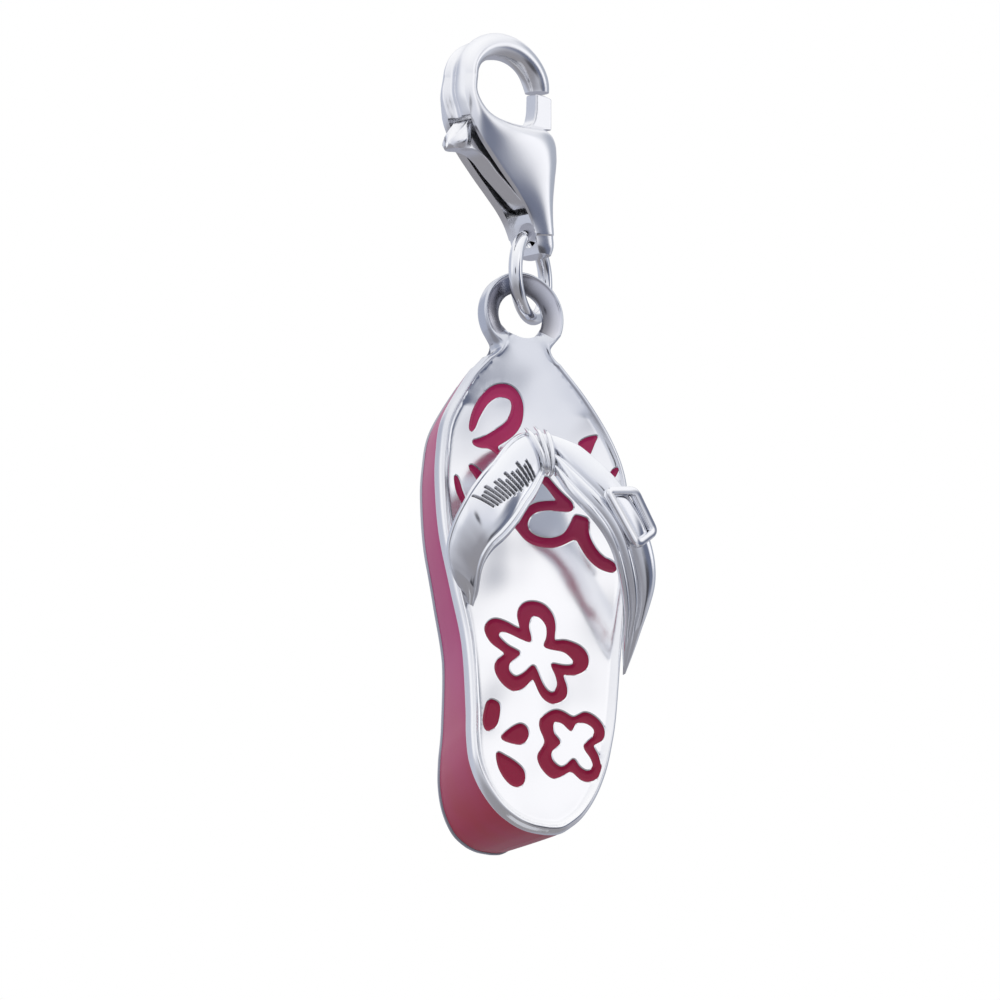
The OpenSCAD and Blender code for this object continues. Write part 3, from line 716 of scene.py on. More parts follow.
def enamel_finish(name, lit_colour, deep, low_z, high_z, roughness):
    """Glossy enamel in random clouds, painted from its deep colour at a height low_z to its lighter one
    at high_z: painted shade low down and painted light high up.
    """
    made, nodes = new_finish(name)
    place = nodes.node("TexCoord", out="Object")
    cloud = place.noise(500.0, 2.0)
    # Painted light and shade: lighter with height, with random clouds.
    pale = nodes.node("Clamp", {"Value": place.rise(low_z, high_z) + 0.5 * (cloud - 0.5)})
    bump = nodes.node("Bump", {
        "Height": place.noise(900.0, 1.0), "Strength": 0.08, "Distance": 0.03 * MM})
    nodes.surface({
        "Base Color": pale.blend(deep, lit_colour),
        "Roughness": roughness + 0.08 * cloud,
        "Specular IOR Level": 0.2,
        "Coat Weight": 0.1,
        "Coat Roughness": 0.08,
        "Normal": bump})
    return made


side_finish = enamel_finish(
    "side_enamel_pink", SIDE_PINK, SIDE_SHADED, low_z=-37.0, high_z=-28.0, roughness=0.28)
SIDE_STEPS = 10
SIDE_OVERLAP = 0.005
SIDE_DIP = 0.03
side_spans = np.nonzero(np.clip((BAND_TOP - sole_edge[:, 1]) / BAND_RUN, 0, 1) > 0.5)[0]


def side_line(inset, depth, from_back, in_channel=0.0):
    """A line of the enamel band, at its inset and depth."""
    at, pull = side_place(sole_edge[:, 1], inset, depth, from_back, in_channel * BAND_T)
    flat = sole_edge + pull[:, None] * edge_inward
    flat[:, 0] -= left_swell(sole_edge, at)
    return np.column_stack([flat[:, 0], DECK_Y + at, flat[:, 1]])[side_spans]


at_lip, at_rim = (LIP_H + SIDE_OVERLAP, 0), (-OUTSOLE_T - SIDE_OVERLAP, 1)
near_line, far_line = side_line(SIDE_OVERLAP, *at_lip), side_line(SIDE_OVERLAP, *at_rim)
side_lines = []
for i in range(SIDE_STEPS + 1):
    share = i / SIDE_STEPS
    line = near_line + share * (far_line - near_line)
    line[:, [0, 2]] -= SIDE_DIP * math.sqrt(math.sin(math.pi * share) + 1e-9) * edge_inward[side_spans]
    side_lines.append(line)
side_lines += [side_line(0, *at_rim, 1), side_line(0, *at_lip, 1)]
side_n = len(side_spans)
side_faces = sheet_faces(len(side_lines), side_n, ring=True)
side_faces += [tuple(i * side_n + end for i in range(len(side_lines))) for end in (0, side_n - 1)]
side_enamel = make_piece(
    "side_enamel_band", "charm", side_finish, in_charm(np.vstack(side_lines)), side_faces)
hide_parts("side_enamel")


# Enamel of the flowers: crimson glass in the footbed's pockets. It shrinks when it is fired,
# so it lies a little below the silver and climbs the pocket's walls.
# The flowers' colour is painted lighter high up and darker low down: painted light and shade.
FLOWER_LIT = (0.55, 0.030, 0.15)
FLOWER_SHADED = (0.36, 0.010, 0.055)
INLAY_WIDER = 0.015
ENAMEL_BELOW = 0.06
ENAMEL_SINK = 0.05
CLIMB_WIDTH = 0.16
INLAY_DEEP = POCKET_DEPTH - 0.02
INLAY_SPACING = 0.06
INLAY_CLEAR = 0.035
flower_finish = enamel_finish(
    "flower_enamel_crimson", FLOWER_LIT, FLOWER_SHADED, low_z=-29.0, high_z=-14.0, roughness=0.2)
for name, lines in outlines.items():
    rims = [widened(line, INLAY_WIDER) for line in lines]
    flat, kept, _ = flat_area(rims, [], INLAY_SPACING, INLAY_CLEAR)
    sink = ENAMEL_SINK * ease(nearest(flat, np.vstack(rims)) / CLIMB_WIDTH)
    deck_y = DECK_Y + dish_depth(flat)
    top = np.column_stack([flat[:, 0], deck_y + ENAMEL_BELOW + sink, flat[:, 1]])
    base = np.column_stack([flat[:, 0], deck_y + INLAY_DEEP, flat[:, 1]])
    faces = [tuple(t) for t in kept] + [tuple(len(flat) + t[::-1]) for t in kept]
    edges = edges_of(kept)
    faces += [(b, a, len(flat) + a, len(flat) + b) for a, b in edges if (b, a) not in edges]
    inlay = make_piece(
        name.replace("enamel_", "inlay_"), "charm", flower_finish,
        in_charm(np.vstack([top, base])), faces)
    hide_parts(name)


# Strap arms: two bands of the casting that leave the post between the toes and run down over
# the lip. Fine grooves and beads were cut along them, and a patch of short strokes on the left.
# Columns: toe edge x, height over the footbed, z, then the same for the heel edge
LEFT_ARM = [
    [-0.55, 0.95, -6.00, -0.01, 1.10, -7.84],
    [-1.40, 1.20, -6.32, -0.33, 1.45, -8.45],
    [-2.15, 1.42, -6.90, -0.86, 1.70, -9.31],
    [-2.95, 1.62, -7.85, -1.48, 1.88, -10.12],
    [-3.60, 1.68, -8.55, -2.01, 1.90, -10.90],
    [-4.15, 1.58, -9.30, -2.58, 1.80, -11.57],
    [-4.50, 1.40, -9.95, -3.13, 1.62, -12.09],
    [-4.72, 1.05, -10.53, -3.38, 1.25, -12.55],
    [-4.84, 0.66, -11.14, -3.43, 0.90, -12.98],
    [-4.88, 0.38, -11.72, -3.37, 0.55, -13.34],
    [-4.77, 0.20, -12.33, -3.33, 0.28, -13.69],
    [-4.46, 0.06, -13.02, -3.33, 0.06, -13.95],
    [-3.98, -0.12, -13.68, -3.36, -0.14, -14.19],
    [-3.66, -0.42, -14.26, -3.36, -0.42, -14.50]]
RIGHT_ARM = [
    [0.30, 0.90, -6.02, 0.10, 1.10, -7.68],
    [0.81, 1.40, -6.35, 0.32, 1.45, -8.25],
    [1.37, 1.80, -6.73, 0.55, 1.80, -8.95],
    [1.87, 2.10, -7.27, 0.95, 2.15, -9.65],
    [2.40, 2.40, -7.90, 1.50, 2.38, -10.35],
    [2.95, 2.60, -8.60, 2.05, 2.42, -11.05],
    [3.50, 2.72, -9.45, 2.50, 2.32, -11.75],
    [4.05, 2.70, -10.40, 2.85, 2.10, -12.50],
    [4.50, 2.50, -11.35, 3.16, 1.80, -13.30],
    [4.78, 2.25, -12.20, 3.42, 1.45, -14.05],
    [4.90, 1.90, -13.05, 3.60, 1.10, -14.75],
    [4.80, 1.45, -13.95, 3.72, 0.70, -15.40],
    [4.62, 0.95, -14.85, 3.85, 0.38, -15.95],
    [4.45, 0.45, -15.75, 4.00, 0.10, -16.40],
    [4.22, -0.10, -16.75, 4.10, -0.15, -16.80]]
ARM_UNDER = 0.22
FULL_WIDTH = 1.75
# Section of each arm's front. Columns: place from the toe edge to the heel edge, height
LEFT_FRONT = [
    [0, 0], [0.012, 0.10], [0.03, 0.15], [0.05, 0.14], [0.065, 0.11], [0.085, 0.16], [0.14, 0.25],
    [0.25, 0.34], [0.42, 0.38], [0.60, 0.36], [0.74, 0.28], [0.81, 0.22], [0.84, 0.16], [0.865, 0.23],
    [0.89, 0.25], [0.91, 0.19], [0.925, 0.14], [0.945, 0.22], [0.965, 0.22], [0.985, 0.14], [1, 0]]
RIGHT_FRONT = [
    [0, 0], [0.02, 0.12], [0.07, 0.24], [0.18, 0.34], [0.32, 0.38], [0.44, 0.34], [0.50, 0.26],
    [0.54, 0.19], [0.60, 0.30], [0.66, 0.35], [0.72, 0.32], [0.77, 0.24], [0.80, 0.18], [0.84, 0.26],
    [0.90, 0.30], [0.95, 0.24], [0.98, 0.15], [1, 0]]
# Strokes cut across the left arm, one beside the other. They begin at a row and take up so many
# rows. The first starts at a place across the arm, and the rest move from there.
STROKES = 14
STROKE_CUT = 0.11
STROKES_AT = 1.55
STROKES_RUN = 3.75
STROKE_START = 0.46
STROKE_MOVE = -0.33
STROKE_LONG = 0.41
STROKE_LEAN = (0.05, 0.5)


def strokes(at, share):
    """How deep the strokes are at a place along the arm, for each place across it: from 0 to 1."""
    u = (at - STROKES_AT) / STROKES_RUN
    for _ in range(3):
        across = (share - STROKE_START - STROKE_MOVE * u) / STROKE_LONG
        u = (at - STROKES_AT + STROKE_LEAN[0] * across) / (STROKES_RUN - STROKE_LEAN[1] * across)
    turn = u * STROKES
    number = np.floor(turn)
    start, stop = 0.16 * np.sin(2.3 * number), 1 - 0.12 * np.abs(np.sin(1.7 * number + 1))
    from_middle = np.abs(2 * (turn - number) - 1)
    cut = ease((0.74 - from_middle) / 0.34)
    ends = ease((across - start) / 0.07) * ease((stop - across) / 0.07)
    return cut * ends * ((turn > 0) & (turn < STROKES))


def arm_point(row, share, height):
    """Points of an arm's section: share runs from the toe edge to the heel edge."""
    toe = np.array([row[0], DECK_Y - row[1], row[2]])
    heel = np.array([row[3], DECK_Y - row[4], row[5]])
    along = unit(heel - toe)
    out = unit(np.array([0, -1.0, 0]) + along[1] * along)
    return toe + share[:, None] * (heel - toe) + height[:, None] * out


def smoothed(values, weights):
    """Each value drawn to its neighbours by the weights."""
    return np.convolve(np.pad(values, len(weights) // 2, mode="edge"), weights, "valid")


def tube_faces(rows, columns):
    """Quads of a closed grid of points, and a face over each of its ends."""
    ends = [tuple(range(columns)), tuple(range((rows - 1) * columns, rows * columns))]
    return sheet_faces(rows, columns, closed=True) + ends


POINTS_OVER = 97
POINTS_UNDER = 15
CALM_WIDTH = 19
CALM_RUN = 3


def arm_mesh(rows, front, steps, with_strokes, calm_from):
    """Points and faces of an arm, and the numbers of the faces inside its strokes. From the row
    calm_from on, its grooves run out."""
    fine = through(rows, steps)
    even = np.linspace(0, 1, POINTS_OVER)
    over = 0.5 * (1 - np.cos(math.pi * even)) / 2 + 0.5 * even
    under = np.linspace(1, 0, POINTS_UNDER + 2)[1:-1]
    place, height = through(front, 6).T
    rise = smoothed(np.interp(over, place, height), [0.25, 0.5, 0.25])
    calm = smoothed(rise, np.full(CALM_WIDTH, 1 / CALM_WIDTH))
    calm = np.minimum(calm, np.interp(over, [0, 0.03, 0.97, 1], [0, 0.5, 0.5, 0]))
    points, depths = [], []
    for i, row in enumerate(fine):
        depths.append(strokes(i / steps, over) if with_strokes else 0 * over)
        size = min(1, math.hypot(row[3] - row[0], row[4] - row[1], row[5] - row[2]) / FULL_WIDTH)
        calmed = ease((i / steps - calm_from) / CALM_RUN)
        relief = size * (rise + calmed * (calm - rise)) - STROKE_CUT * depths[-1]
        points.append(arm_point(row, over, relief))
        points.append(arm_point(row, under, -ARM_UNDER * np.sin(np.pi * under)))
    count = POINTS_OVER + POINTS_UNDER
    rows_cut, places_cut = np.nonzero(np.array(depths)[:-1, :-1] > 0.45)
    return np.vstack(points), tube_faces(len(fine), count), (rows_cut * count + places_cut).tolist()


blackened = silver_finish(
    "blackened_silver", (0.20, 0.20, 0.21), (0.09, 0.09, 0.10), roughness=0.30, cloud_scale=2500.0,
    hairline=0.1)
strap_silver = silver_finish(
    "strap_silver", (0.95, 0.95, 0.965), (0.84, 0.86, 0.91), roughness=0.15, cloud_scale=260.0,
    hairline=0.04)
for name, rows, front, steps, marked, calm_from in [
        ("strap_arm_left", LEFT_ARM, LEFT_FRONT, 34, True, 11),
        ("strap_arm_right", RIGHT_ARM, RIGHT_FRONT, 16, False, 9.5)]:
    points, faces, cut_faces = arm_mesh(rows, front, steps, marked, calm_from)
    arm = make_piece(
        name, "charm", strap_silver, in_charm(points), faces, 60,
        blackened if marked else None, cut_faces)
    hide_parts("charm_casting")


# Toe post: the casting's stub between the toes, under the place where the arms meet, with
# three fine ridges like a seam over the top.
POST_AT = (-0.22, -7.0)
POST_LONG = 1.25
POST_SIDES = 40
# Section of the post, from the footbed to the crown. Columns: radius, height over the footbed
POST_SECTION = [
    [0.55, -0.3], [0.56, 0.2], [0.62, 0.8], [0.72, 1.15], [0.66, 1.38], [0.40, 1.52], [0.0, 1.56]]


def swept(line, side, up, radii, sides, high=1.0, power=2):
    """Sections round the points of a line: so wide to the side, and high times that upwards.
    A power of 2 makes them round and more makes them square."""
    turn = 2 * math.pi * np.arange(sides)[:, None] / sides
    c, s = np.cos(turn), np.sin(turn)
    square = (abs(c) ** power + abs(s) ** power) ** (-1 / power)
    side, up = [np.broadcast_to(way, line.shape)[:, None] for way in (side, up)]
    radii = np.broadcast_to(radii, len(line))[:, None, None]
    return (line[:, None] + radii * square * (c * side + high * s * up)).reshape(-1, 3)


radius, height = through(POST_SECTION, 4).T
post_line = np.column_stack([0 * height + POST_AT[0], DECK_Y - height, 0 * height + POST_AT[1]])
post_points = swept(post_line, [1, 0, 0], [0, 0, 1], radius, POST_SIDES, POST_LONG)
post_faces = sheet_faces(len(radius), POST_SIDES, closed=True) + [tuple(range(POST_SIDES))]
toe_post = make_piece("toe_post", "charm", polished_silver, in_charm(post_points), post_faces)
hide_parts("charm_casting")
SEAM_SIDES = 14
# Columns: x, height over the footbed, z, radius
SEAM_LEFT = [
    [-0.95, 1.15, -5.95, 0.05], [-0.78, 1.50, -6.45, 0.13], [-0.50, 1.68, -7.20, 0.13],
    [-0.28, 1.62, -7.90, 0.10], [-0.22, 1.30, -8.15, 0.05]]
SEAM_MIDDLE = [
    [-0.50, 1.20, -5.85, 0.05], [-0.42, 1.60, -6.35, 0.10], [-0.25, 1.75, -7.15, 0.10],
    [-0.12, 1.70, -7.90, 0.08], [-0.10, 1.40, -8.15, 0.04]]
SEAM_RIGHT = [
    [0.00, 1.20, -5.95, 0.05], [0.05, 1.52, -6.40, 0.13], [0.10, 1.66, -7.20, 0.12],
    [0.12, 1.58, -7.95, 0.10], [0.10, 1.30, -8.20, 0.05]]
for name, rows in [("seam_left", SEAM_LEFT), ("seam_middle", SEAM_MIDDLE), ("seam_right", SEAM_RIGHT)]:
    fine = through(rows, 8)
    line = np.column_stack([fine[:, 0], DECK_Y - fine[:, 1], fine[:, 2]])
    run = unit(np.gradient(line, axis=0))
    side = unit(np.cross(run, [0, -1.0, 0]))
    points = swept(line, side, np.cross(side, run), fine[:, 3], SEAM_SIDES)
    seam = make_piece(
        name, "charm", polished_silver, in_charm(points), tube_faces(len(line), SEAM_SIDES))
    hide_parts("charm_casting")


# Buckle frame on the right arm: a rectangle of square wire, soldered over the strap.
# Columns: x, height over the footbed, z
BUCKLE = [[2.08, 3.02, -9.22], [3.44, 3.05, -9.08], [4.50, 2.75, -10.85], [3.54, 2.90, -11.60]]
BUCKLE_CORNER = 0.28
BUCKLE_R = 0.195
BUCKLE_HIGH = 1.25
BUCKLE_SIDES = 20
BUCKLE_SQUARE = 4
corners = np.array([[x, DECK_Y - h, z] for x, h, z in BUCKLE])
buckle_line = []
for i in range(4):
    here, before, after = corners[i], corners[i - 1], corners[(i + 1) % 4]
    start = here + BUCKLE_CORNER * unit(before - here)
    end = here + BUCKLE_CORNER * unit(after - here)
    for t in np.linspace(0, 1, 8):
        buckle_line.append((1 - t) ** 2 * start + 2 * t * (1 - t) * here + t * t * end)
buckle_line = np.array(buckle_line)
buckle_out = unit(np.cross(corners[1] - corners[0], corners[3] - corners[0]))
buckle_run = unit(np.roll(buckle_line, -1, axis=0) - np.roll(buckle_line, 1, axis=0))
buckle_points = swept(
    buckle_line, unit(np.cross(buckle_run, buckle_out)), buckle_out, BUCKLE_R, BUCKLE_SIDES,
    BUCKLE_HIGH, BUCKLE_SQUARE)
buckle_faces = sheet_faces(len(buckle_line), BUCKLE_SIDES, closed=True, ring=True)
buckle = make_piece(
    "buckle_frame", "charm", polished_silver, in_charm(buckle_points), buckle_faces)
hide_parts("charm_casting")


# Jump ring: round silver wire, bent into a ring and soldered shut. It joins the clasp's eye to
# the toe loop, and hangs turned a little towards the camera.
RING_R = 1.87
RING_WIRE_R = 0.32
RING_STEPS = 120
WIRE_SIDES = 28
RING_TURNED = math.radians(-2.5)
ring_turn = math.atan2(*joints["ring_swing"]["axis"][1::-1]) + RING_TURNED
ring_top = np.array(joints["ring_swing"]["pos_m"]) / MM
ring_middle = ring_top - [0, 0, RING_R]
c, s = math.cos(ring_turn), math.sin(ring_turn)
around = arc(np.linspace(0, 2 * math.pi, RING_STEPS, endpoint=False))
ring_way = np.column_stack([c * around[:, 0], s * around[:, 0], around[:, 1]])
ring_points = swept(ring_middle + RING_R * ring_way, ring_way, [-s, c, 0], RING_WIRE_R, WIRE_SIDES)
ring_faces = sheet_faces(RING_STEPS, WIRE_SIDES, closed=True, ring=True)
jump_ring = make_piece("jump_ring_wire", "link", polished_silver, ring_points, ring_faces)
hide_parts("jump_ring")


# Clasp body: one casting. A round hook swells into a hollow teardrop of two walls, and the
# lever swings between them. Its plane has u to the right, v up and n towards the viewer.
clasp_turn = math.atan2(joints["lever_hinge"]["axis"][0], -joints["lever_hinge"]["axis"][1])
CHANNEL_HALF_W = 0.70
HOOK_MIDDLE = np.array([0, -1.28])
HOOK_A = 2.33
HOOK_B = 1.88
# Rows of the hook. Columns: degrees round it, wire radius in its plane, depth to the front and to
# the back, groove, squareness of the back
HOOK_ROWS = [
    [3, 0.56, 0.54, 0.54, 0, 0], [20, 0.62, 0.60, 0.60, 0, 0], [50, 0.62, 0.60, 0.60, 0, 0],
    [85, 0.62, 0.62, 0.68, 0, 0.1], [105, 0.60, 0.62, 0.84, 0.04, 0.4],
    [125, 0.55, 0.63, 1.00, 0.14, 0.8], [150, 0.49, 0.65, 1.13, 0.22, 1],
    [176, 0.47, 0.72, 1.18, 0.26, 1]]
# Rows of the walls. Columns: outer edge u, v, inner edge u, v, depth to the front and to the back,
# groove, squareness of the back, wall share
WALL_ROWS = [
    [-2.92, -1.90, -1.99, -1.87, 0.82, 1.19, 0.28, 1, 0.15],
    [-2.84, -2.60, -1.70, -2.44, 0.94, 1.19, 0.30, 1, 0.40],
    [-2.64, -3.30, -1.06, -2.83, 1.04, 1.19, 0.20, 1, 0.70],
    [-2.14, -4.05, 0.08, -2.97, 1.10, 1.19, 0, 1, 0.92],
    [-1.60, -4.60, 1.40, -2.95, 1.15, 1.20, 0, 1, 1],
    [-1.05, -5.12, 2.50, -2.94, 1.15, 1.20, 0, 1, 1],
    [-0.52, -5.60, 3.02, -3.35, 1.14, 1.20, 0, 1, 1],
    [-0.05, -6.00, 3.12, -4.20, 1.12, 1.20, 0, 1, 1],
    [0.36, -6.38, 2.98, -5.20, 1.08, 1.18, 0, 1, 1],
    [0.82, -6.85, 2.84, -6.20, 1.03, 1.14, 0, 1, 1],
    [1.20, -7.40, 2.80, -7.00, 0.99, 1.08, 0, 1, 1],
    [1.46, -8.00, 2.82, -7.80, 0.98, 1.02, 0, 1, 1],
    [1.60, -8.50, 2.84, -8.45, 0.98, 0.98, 0, 1, 1],
    [1.75, -8.85, 2.68, -8.88, 0.90, 0.90, 0, 1, 1]]
# The groove lies behind the middle on the hook and comes to the middle on the walls
GROOVE_BACK = 0.52
GROOVE_HALF = 0.30
# The end block with the eye is thinner than the walls, by a small step
STEP_AT = -7.95
STEP_IN = 0.07
# Channel between the walls, open at the left and under the hook. Columns: u, v
CHANNEL = [
    [-4.00, -3.10], [-1.30, -3.05], [-0.90, -2.75], [-0.75, -2.00], [2.70, -2.00], [2.70, -6.60],
    [2.40, -6.95], [1.75, -6.98], [1.38, -7.05], [1.40, -7.45], [1.62, -8.10], [1.78, -8.60],
    [1.86, -9.30], [-1.00, -9.30], [-4.00, -5.20]]
EYE_R = 0.54
EYE_UP = 0.02
EYE_CUT_HALF = 3
EYE_SIDES = 72


def in_clasp(points):
    """Stands points (u, v, n) of the clasp's plane up and turns them about Z."""
    u, v, n = np.asarray(points, float).T
    c, s = math.cos(clasp_turn), math.sin(clasp_turn)
    return np.column_stack([u * c + n * s, u * s - n * c, v])


def prism(outline, half):
    """Points and faces of a flat outline (u, v) with that half thickness."""
    outline = np.asarray(outline, float)
    count = len(outline)
    points = np.vstack([np.column_stack([outline, np.full(count, n)]) for n in (-half, half)])
    return points, tube_faces(2, count)


def half_sections(side=40, left=80, right=80):
    """Half of a section, for the hook and for the walls: places across from -1 to 1, and depths."""
    round_turn = np.linspace(0, math.pi, side + left + right)
    hook = np.column_stack([-np.cos(round_turn), np.sin(round_turn)])
    up = np.column_stack([np.full(side, -1.0), np.linspace(0, 0.84, side)])
    across = np.linspace(0, 1, left + 1)[1:]
    swell = np.column_stack([-1 + 1.15 * across, 0.84 + 0.16 * np.sin(across * math.pi / 2) ** 0.9])
    turn = np.linspace(0, math.pi / 2, right + 1)[1:]
    shoulder = np.column_stack([0.15 + 0.85 * np.sin(turn) ** 0.95, np.cos(turn) ** 0.85])
    return np.clip(hook, -1, 1), np.vstack([up, swell, shoulder])


def in_parts(line, corner=40, before=14, after=36):
    """Even steps up to a section's corner and even steps past it."""
    return np.vstack([even_steps(line[:corner], before), even_steps(line[corner:], after)])


def clasp_mesh():
    rows = []
    for degrees, radius, *rest in through(HOOK_ROWS, 10):
        a = math.radians(degrees)
        at = HOOK_MIDDLE + [HOOK_A * math.cos(a), HOOK_B * math.sin(a)]
        out = unit(np.array([math.cos(a) / HOOK_A, math.sin(a) / HOOK_B]))
        rows.append([*(at + radius * out), *(at - radius * out), *rest, 0])
    rows = np.vstack([rows[:-1], through([rows[-1], *WALL_ROWS], 10)])
    hook, wall = half_sections()
    points = []
    for row in rows:
        outer, inner, (front, back, groove, square, share) = row[:2], row[2:4], row[4:]
        width = np.linalg.norm(inner - outer)
        step = STEP_IN * ease((STEP_AT - (outer[1] + inner[1]) / 2) / 0.08)
        x, n = ((1 - share) * hook + share * wall).T
        n = np.clip(n, 0, 1)
        x = x * width / 2
        near = in_parts(np.column_stack([x, n * (front - step)]))
        far = in_parts(np.column_stack([x, -n ** (1 - 0.75 * np.clip(square, 0, 1)) * (back - step)]))
        x, n = np.vstack([near, far[-2:0:-1]]).T
        x = x + groove * np.exp(-((n + GROOVE_BACK * (1 - share)) / GROOVE_HALF) ** 4) * (x < 0)
        spot = (outer + inner) / 2 + x[:, None] * (inner - outer) / width
        points.append(np.column_stack([spot, n]))
    return np.vstack(points), tube_faces(len(points), len(points[0]))


body_work = new_object("clasp_work", welded_mesh("clasp_work", *clasp_mesh(), 1))
eye_turn = math.pi / 2 - (clasp_turn - ring_turn)
c, s = math.cos(eye_turn), math.sin(eye_turn)
eye_circle = arc(np.linspace(0, 2 * math.pi, EYE_SIDES, endpoint=False), EYE_R)
eye_points, eye_faces = prism(eye_circle, EYE_CUT_HALF)
a, b, n = eye_points.T
eye_points = np.column_stack([
    ring_top[0] / math.cos(clasp_turn) + a * c + n * s, ring_top[2] + EYE_UP + b, n * c - a * s])
cutters = [
    new_object(name, welded_mesh(name, points, faces, 1)) for name, points, faces in [
        ("cut_channel", *prism(CHANNEL, CHANNEL_HALF_W)), ("cut_eye", eye_points, eye_faces)]]
for cutter in cutters:
    cut = body_work.modifiers.new(cutter.name, "BOOLEAN")
    cut.operation = "DIFFERENCE"
    cut.solver = "MANIFOLD"
    cut.object = cutter
bpy.context.view_layer.update()
cut_body = body_work.evaluated_get(bpy.context.evaluated_depsgraph_get())
cut_mesh = bpy.data.meshes.new_from_object(cut_body)
clasp_points = in_clasp([v.co for v in cut_mesh.vertices])
clasp_faces = [tuple(p.vertices) for p in cut_mesh.polygons]
satin_silver = silver_finish(
    "satin_silver", (0.95, 0.95, 0.965), (0.86, 0.87, 0.91), roughness=0.21, cloud_scale=260.0,
    hairline=0.04)
clasp_body = make_piece("clasp_casting", "clasp", satin_silver, clasp_points, clasp_faces, 38)
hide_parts("clasp_body")
for scratch in [body_work, *cutters]:
    bpy.data.objects.remove(scratch)


# Clasp lever: a bent strip that turns on the pin between the walls, with a scooped thumb tab
# at the left and a narrower latch that closes the hook at the right.
LEVER_HALF_T = 0.49
LATCH_HALF_T = 0.34
TAB_HALF_T = 0.78
PIVOT = np.array([1.9, -6.3])
HUB_R = 0.52
LATCH_R = 5.0
LATCH_ENDS = (1.96, 2.94)
LATCH_FROM_U = 0.5
LATCH_FROM_V = -3.3
LATCH_RUN = 0.5
# From the hub up the left edge to the thumb tab and over to the latch. Columns: u, v
LEVER_BACK = [
    [1.55, -6.84], [1.20, -6.74], [0.65, -6.40], [0.00, -5.96], [-0.70, -5.48], [-1.30, -4.99],
    [-1.75, -4.76], [-2.20, -4.66], [-2.60, -4.66], [-2.95, -4.70], [-3.22, -4.70], [-3.42, -4.60],
    [-3.50, -4.42], [-3.40, -4.20], [-3.17, -3.97], [-2.95, -3.73], [-2.72, -3.48], [-2.50, -3.25],
    [-2.10, -3.16], [-1.20, -3.22], [-0.30, -3.18], [0.70, -3.05], [1.45, -2.88], [1.80, -2.60],
    [1.95, -2.00]]
LEVER_FRONT = [[2.94, -2.88], [2.45, -2.92], [2.45, -4.50], [2.40, -6.10]]
TAB_SCOOP = 0.34
TAB_DOME = 0.26
TAB_TIP = -3.5
TAB_FROM = -2.40
TAB_RUN = 0.6
TAB_TIP_FROM = -2.7
DOME_WIDE = 0.45
LEVER_ROUND = 0.05
LEVER_STEP = 0.06
LEVER_SPACING = 0.09
latch_turns = [math.acos((u - PIVOT[0]) / LATCH_R) for u in LATCH_ENDS]
latch_arc = arc(np.linspace(*latch_turns, 10), LATCH_R, PIVOT)
hub = arc(np.radians(np.arange(0, -91, -15)), HUB_R, PIVOT)
lever_line = np.vstack([through(LEVER_BACK, 6)[:-1], latch_arc, LEVER_FRONT, hub])
lever_line = rounded_outline(even_steps(np.vstack([lever_line, lever_line[:1]]), 240)[:-1], LEVER_STEP)
if not turns_left(lever_line):
    lever_line = lever_line[::-1]


def lever_half(u, v, clear):
    """Half the lever's thickness: wide at the tab with a round tip, narrow at the latch. The tab's
    sides bulge with the distance clear of their outline."""
    on_latch = ease((v - LATCH_FROM_V) / LATCH_RUN) * (u > LATCH_FROM_U)
    half = LEVER_HALF_T + (LATCH_HALF_T - LEVER_HALF_T) * on_latch
    bulge = TAB_DOME * (1 - np.clip(clear / DOME_WIDE, 0, 1)) ** 2
    half = half + (TAB_HALF_T - LEVER_HALF_T - bulge) * ease((TAB_FROM - u) / TAB_RUN)
    tip = np.clip((TAB_TIP_FROM - u) / (TAB_TIP_FROM - TAB_TIP), 0, 1)
    return half * (0.2 + 0.8 * np.sqrt(1 - tip ** 2))


def lever_layer(flat, share, past, clear=0.0):
    """Points of the lever at a share of its half thickness, and that far past it."""
    u, v = flat.T
    n = share * (lever_half(u, v, clear) - LEVER_ROUND) + past
    on_top = ease((-2.3 - u) / 0.4) * ease((v - np.interp(u, [-3.5, -2.3], [-4.62, -4.3])) / 0.3)
    return np.column_stack([u, v - TAB_SCOOP * (1 - share ** 2) * on_top, n])


rounding = [
    (LEVER_ROUND * math.sin(a), LEVER_ROUND * (1 - math.cos(a))) for a in np.radians([90, 60, 30])]
layers = [(-1, -past, inset) for past, inset in rounding]
layers += [(share, 0, 0) for share in np.linspace(-1, 1, 13)]
layers += [(1, past, inset) for past, inset in rounding[::-1]]
lever_points = [lever_layer(widened(lever_line, -inset), share, past) for share, past, inset in layers]
lever_faces = sheet_faces(len(layers), len(lever_line), closed=True)
side_outline = widened(lever_line, -LEVER_ROUND)
flat, triangles, _ = flat_area([side_outline], [], LEVER_SPACING, LEVER_SPACING / 2)
clear = nearest(flat, side_outline)
for side in (-1, 1):
    first = sum(map(len, lever_points))
    lever_points.append(lever_layer(flat, side, side * LEVER_ROUND, clear))
    lever_faces += [tuple(first + t) for t in triangles]
clasp_lever = make_piece(
    "clasp_lever_strip", "lever", satin_silver, in_clasp(np.vstack(lever_points)),
    lever_faces, 50)
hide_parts("clasp_lever")


# Lever pin: a plain length of silver wire through both walls, on which the lever turns. It
# keeps the solid's own mesh, with the finish of the ring.
pin_finishes = frame["nodes"]["lever_pin"].data.materials
pin_finishes.clear()
pin_finishes.append(polished_silver)


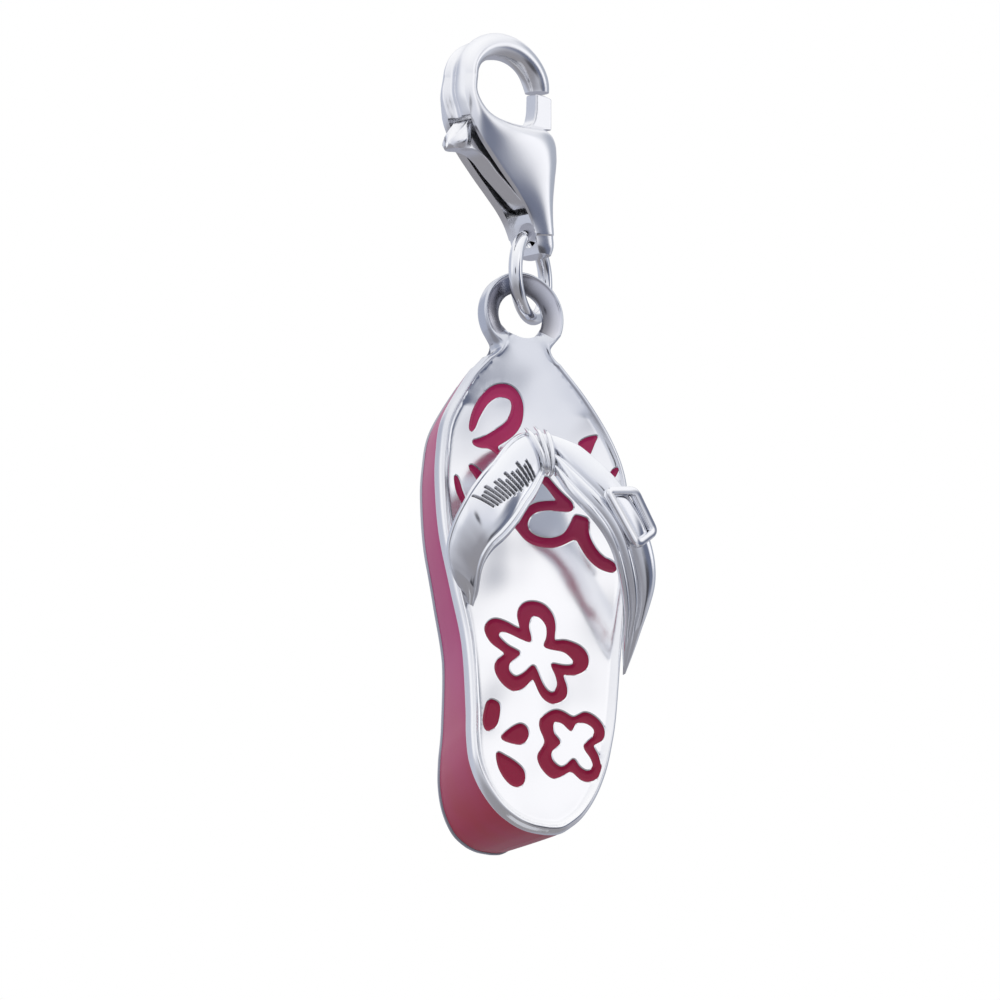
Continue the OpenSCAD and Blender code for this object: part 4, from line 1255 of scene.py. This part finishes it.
# Studio: a pale floor far below, and a white tent all round. Grey and dark patches in the tent
# stand for its seams, the room behind them and the lens, which the polished silver mirrors.
FLOOR_Z = -300 * MM
FLOOR_HALF = 120 * MM
floor_mesh = bpy.data.meshes.new("floor")
floor_corners = [
    (x * FLOOR_HALF, y * FLOOR_HALF, FLOOR_Z) for x, y in [(-1, -1), (1, -1), (1, 1), (-1, 1)]]
floor_mesh.from_pydata(floor_corners, [], [(0, 1, 2, 3)])
studio_floor = new_object("studio_floor", floor_mesh)
floor_finish, nodes = new_finish("pale_floor")
nodes.surface({"Base Color": (0.62, 0.63, 0.66, 1), "Roughness": 0.8})
floor_mesh.materials.append(floor_finish)

# Patches of the tent. Columns: degrees to the right of the front, degrees up, inner radius,
# outer radius, colour
TENT_PATCHES = [
    [29, 24, 10, 24, (1.02, 1.02, 1.04)],
    [48, 1, 12, 28, (0.15, 0.17, 0.24)],
    [67, 12, 6, 16, (1.1, 1.1, 1.12)],
    [105, 15, 14, 30, (0.42, 0.45, 0.52)],
    [-85, 18, 8, 26, (0.94, 0.95, 0.98)],
    [-27, 6, 3, 11, (0.06, 0.06, 0.07)],
    [30, -22, 8, 20, (0.07, 0.07, 0.08)],
    [150, -10, 20, 40, (0.35, 0.36, 0.42)],
    [-138, 10, 18, 40, (0.52, 0.55, 0.64)]]
world = bpy.data.worlds.new("white_tent")
bpy.context.scene.world = world
world.use_nodes = True
world.node_tree.nodes.clear()
nodes = Shade(world.node_tree)
way = nodes.node("TexCoord", out="Generated")
height = nodes.node("SeparateXYZ", {"Vector": way}, "Z")
tent = nodes.node("ValToRGB", {"Fac": height * 0.5 + 0.5}, stops=[
    (0.0, (0.28, 0.27, 0.28)), (0.25, (0.30, 0.30, 0.33)), (0.38, (0.49, 0.50, 0.55)),
    (0.47, (0.61, 0.63, 0.69)), (0.56, (0.69, 0.71, 0.78)), (0.70, (0.84, 0.85, 0.89)),
    (1.0, (1.05, 1.05, 1.05))])
for turn, rise, inner, outer, colour in TENT_PATCHES:
    a, e = math.radians(turn), math.radians(rise)
    towards = (math.sin(a) * math.cos(e), -math.cos(a) * math.cos(e), math.sin(e))
    near = nodes.vector("DOT_PRODUCT", way, towards, out="Value")
    edge, core = math.cos(math.radians(outer)), math.cos(math.radians(inner))
    mask = nodes.node(
        "MapRange", {"Value": near, "From Min": edge, "From Max": core},
        interpolation_type="SMOOTHSTEP")
    tent = mask.blend(tent, colour)
seen = nodes.node("LightPath", out="Is Camera Ray")
glow = nodes.node("Background", {"Color": seen.blend(tent, (1.0, 1.0, 1.0)), "Strength": 1.0})
nodes.node("OutputWorld", {"Surface": glow})
bpy.context.scene.view_settings.view_transform = "Standard"
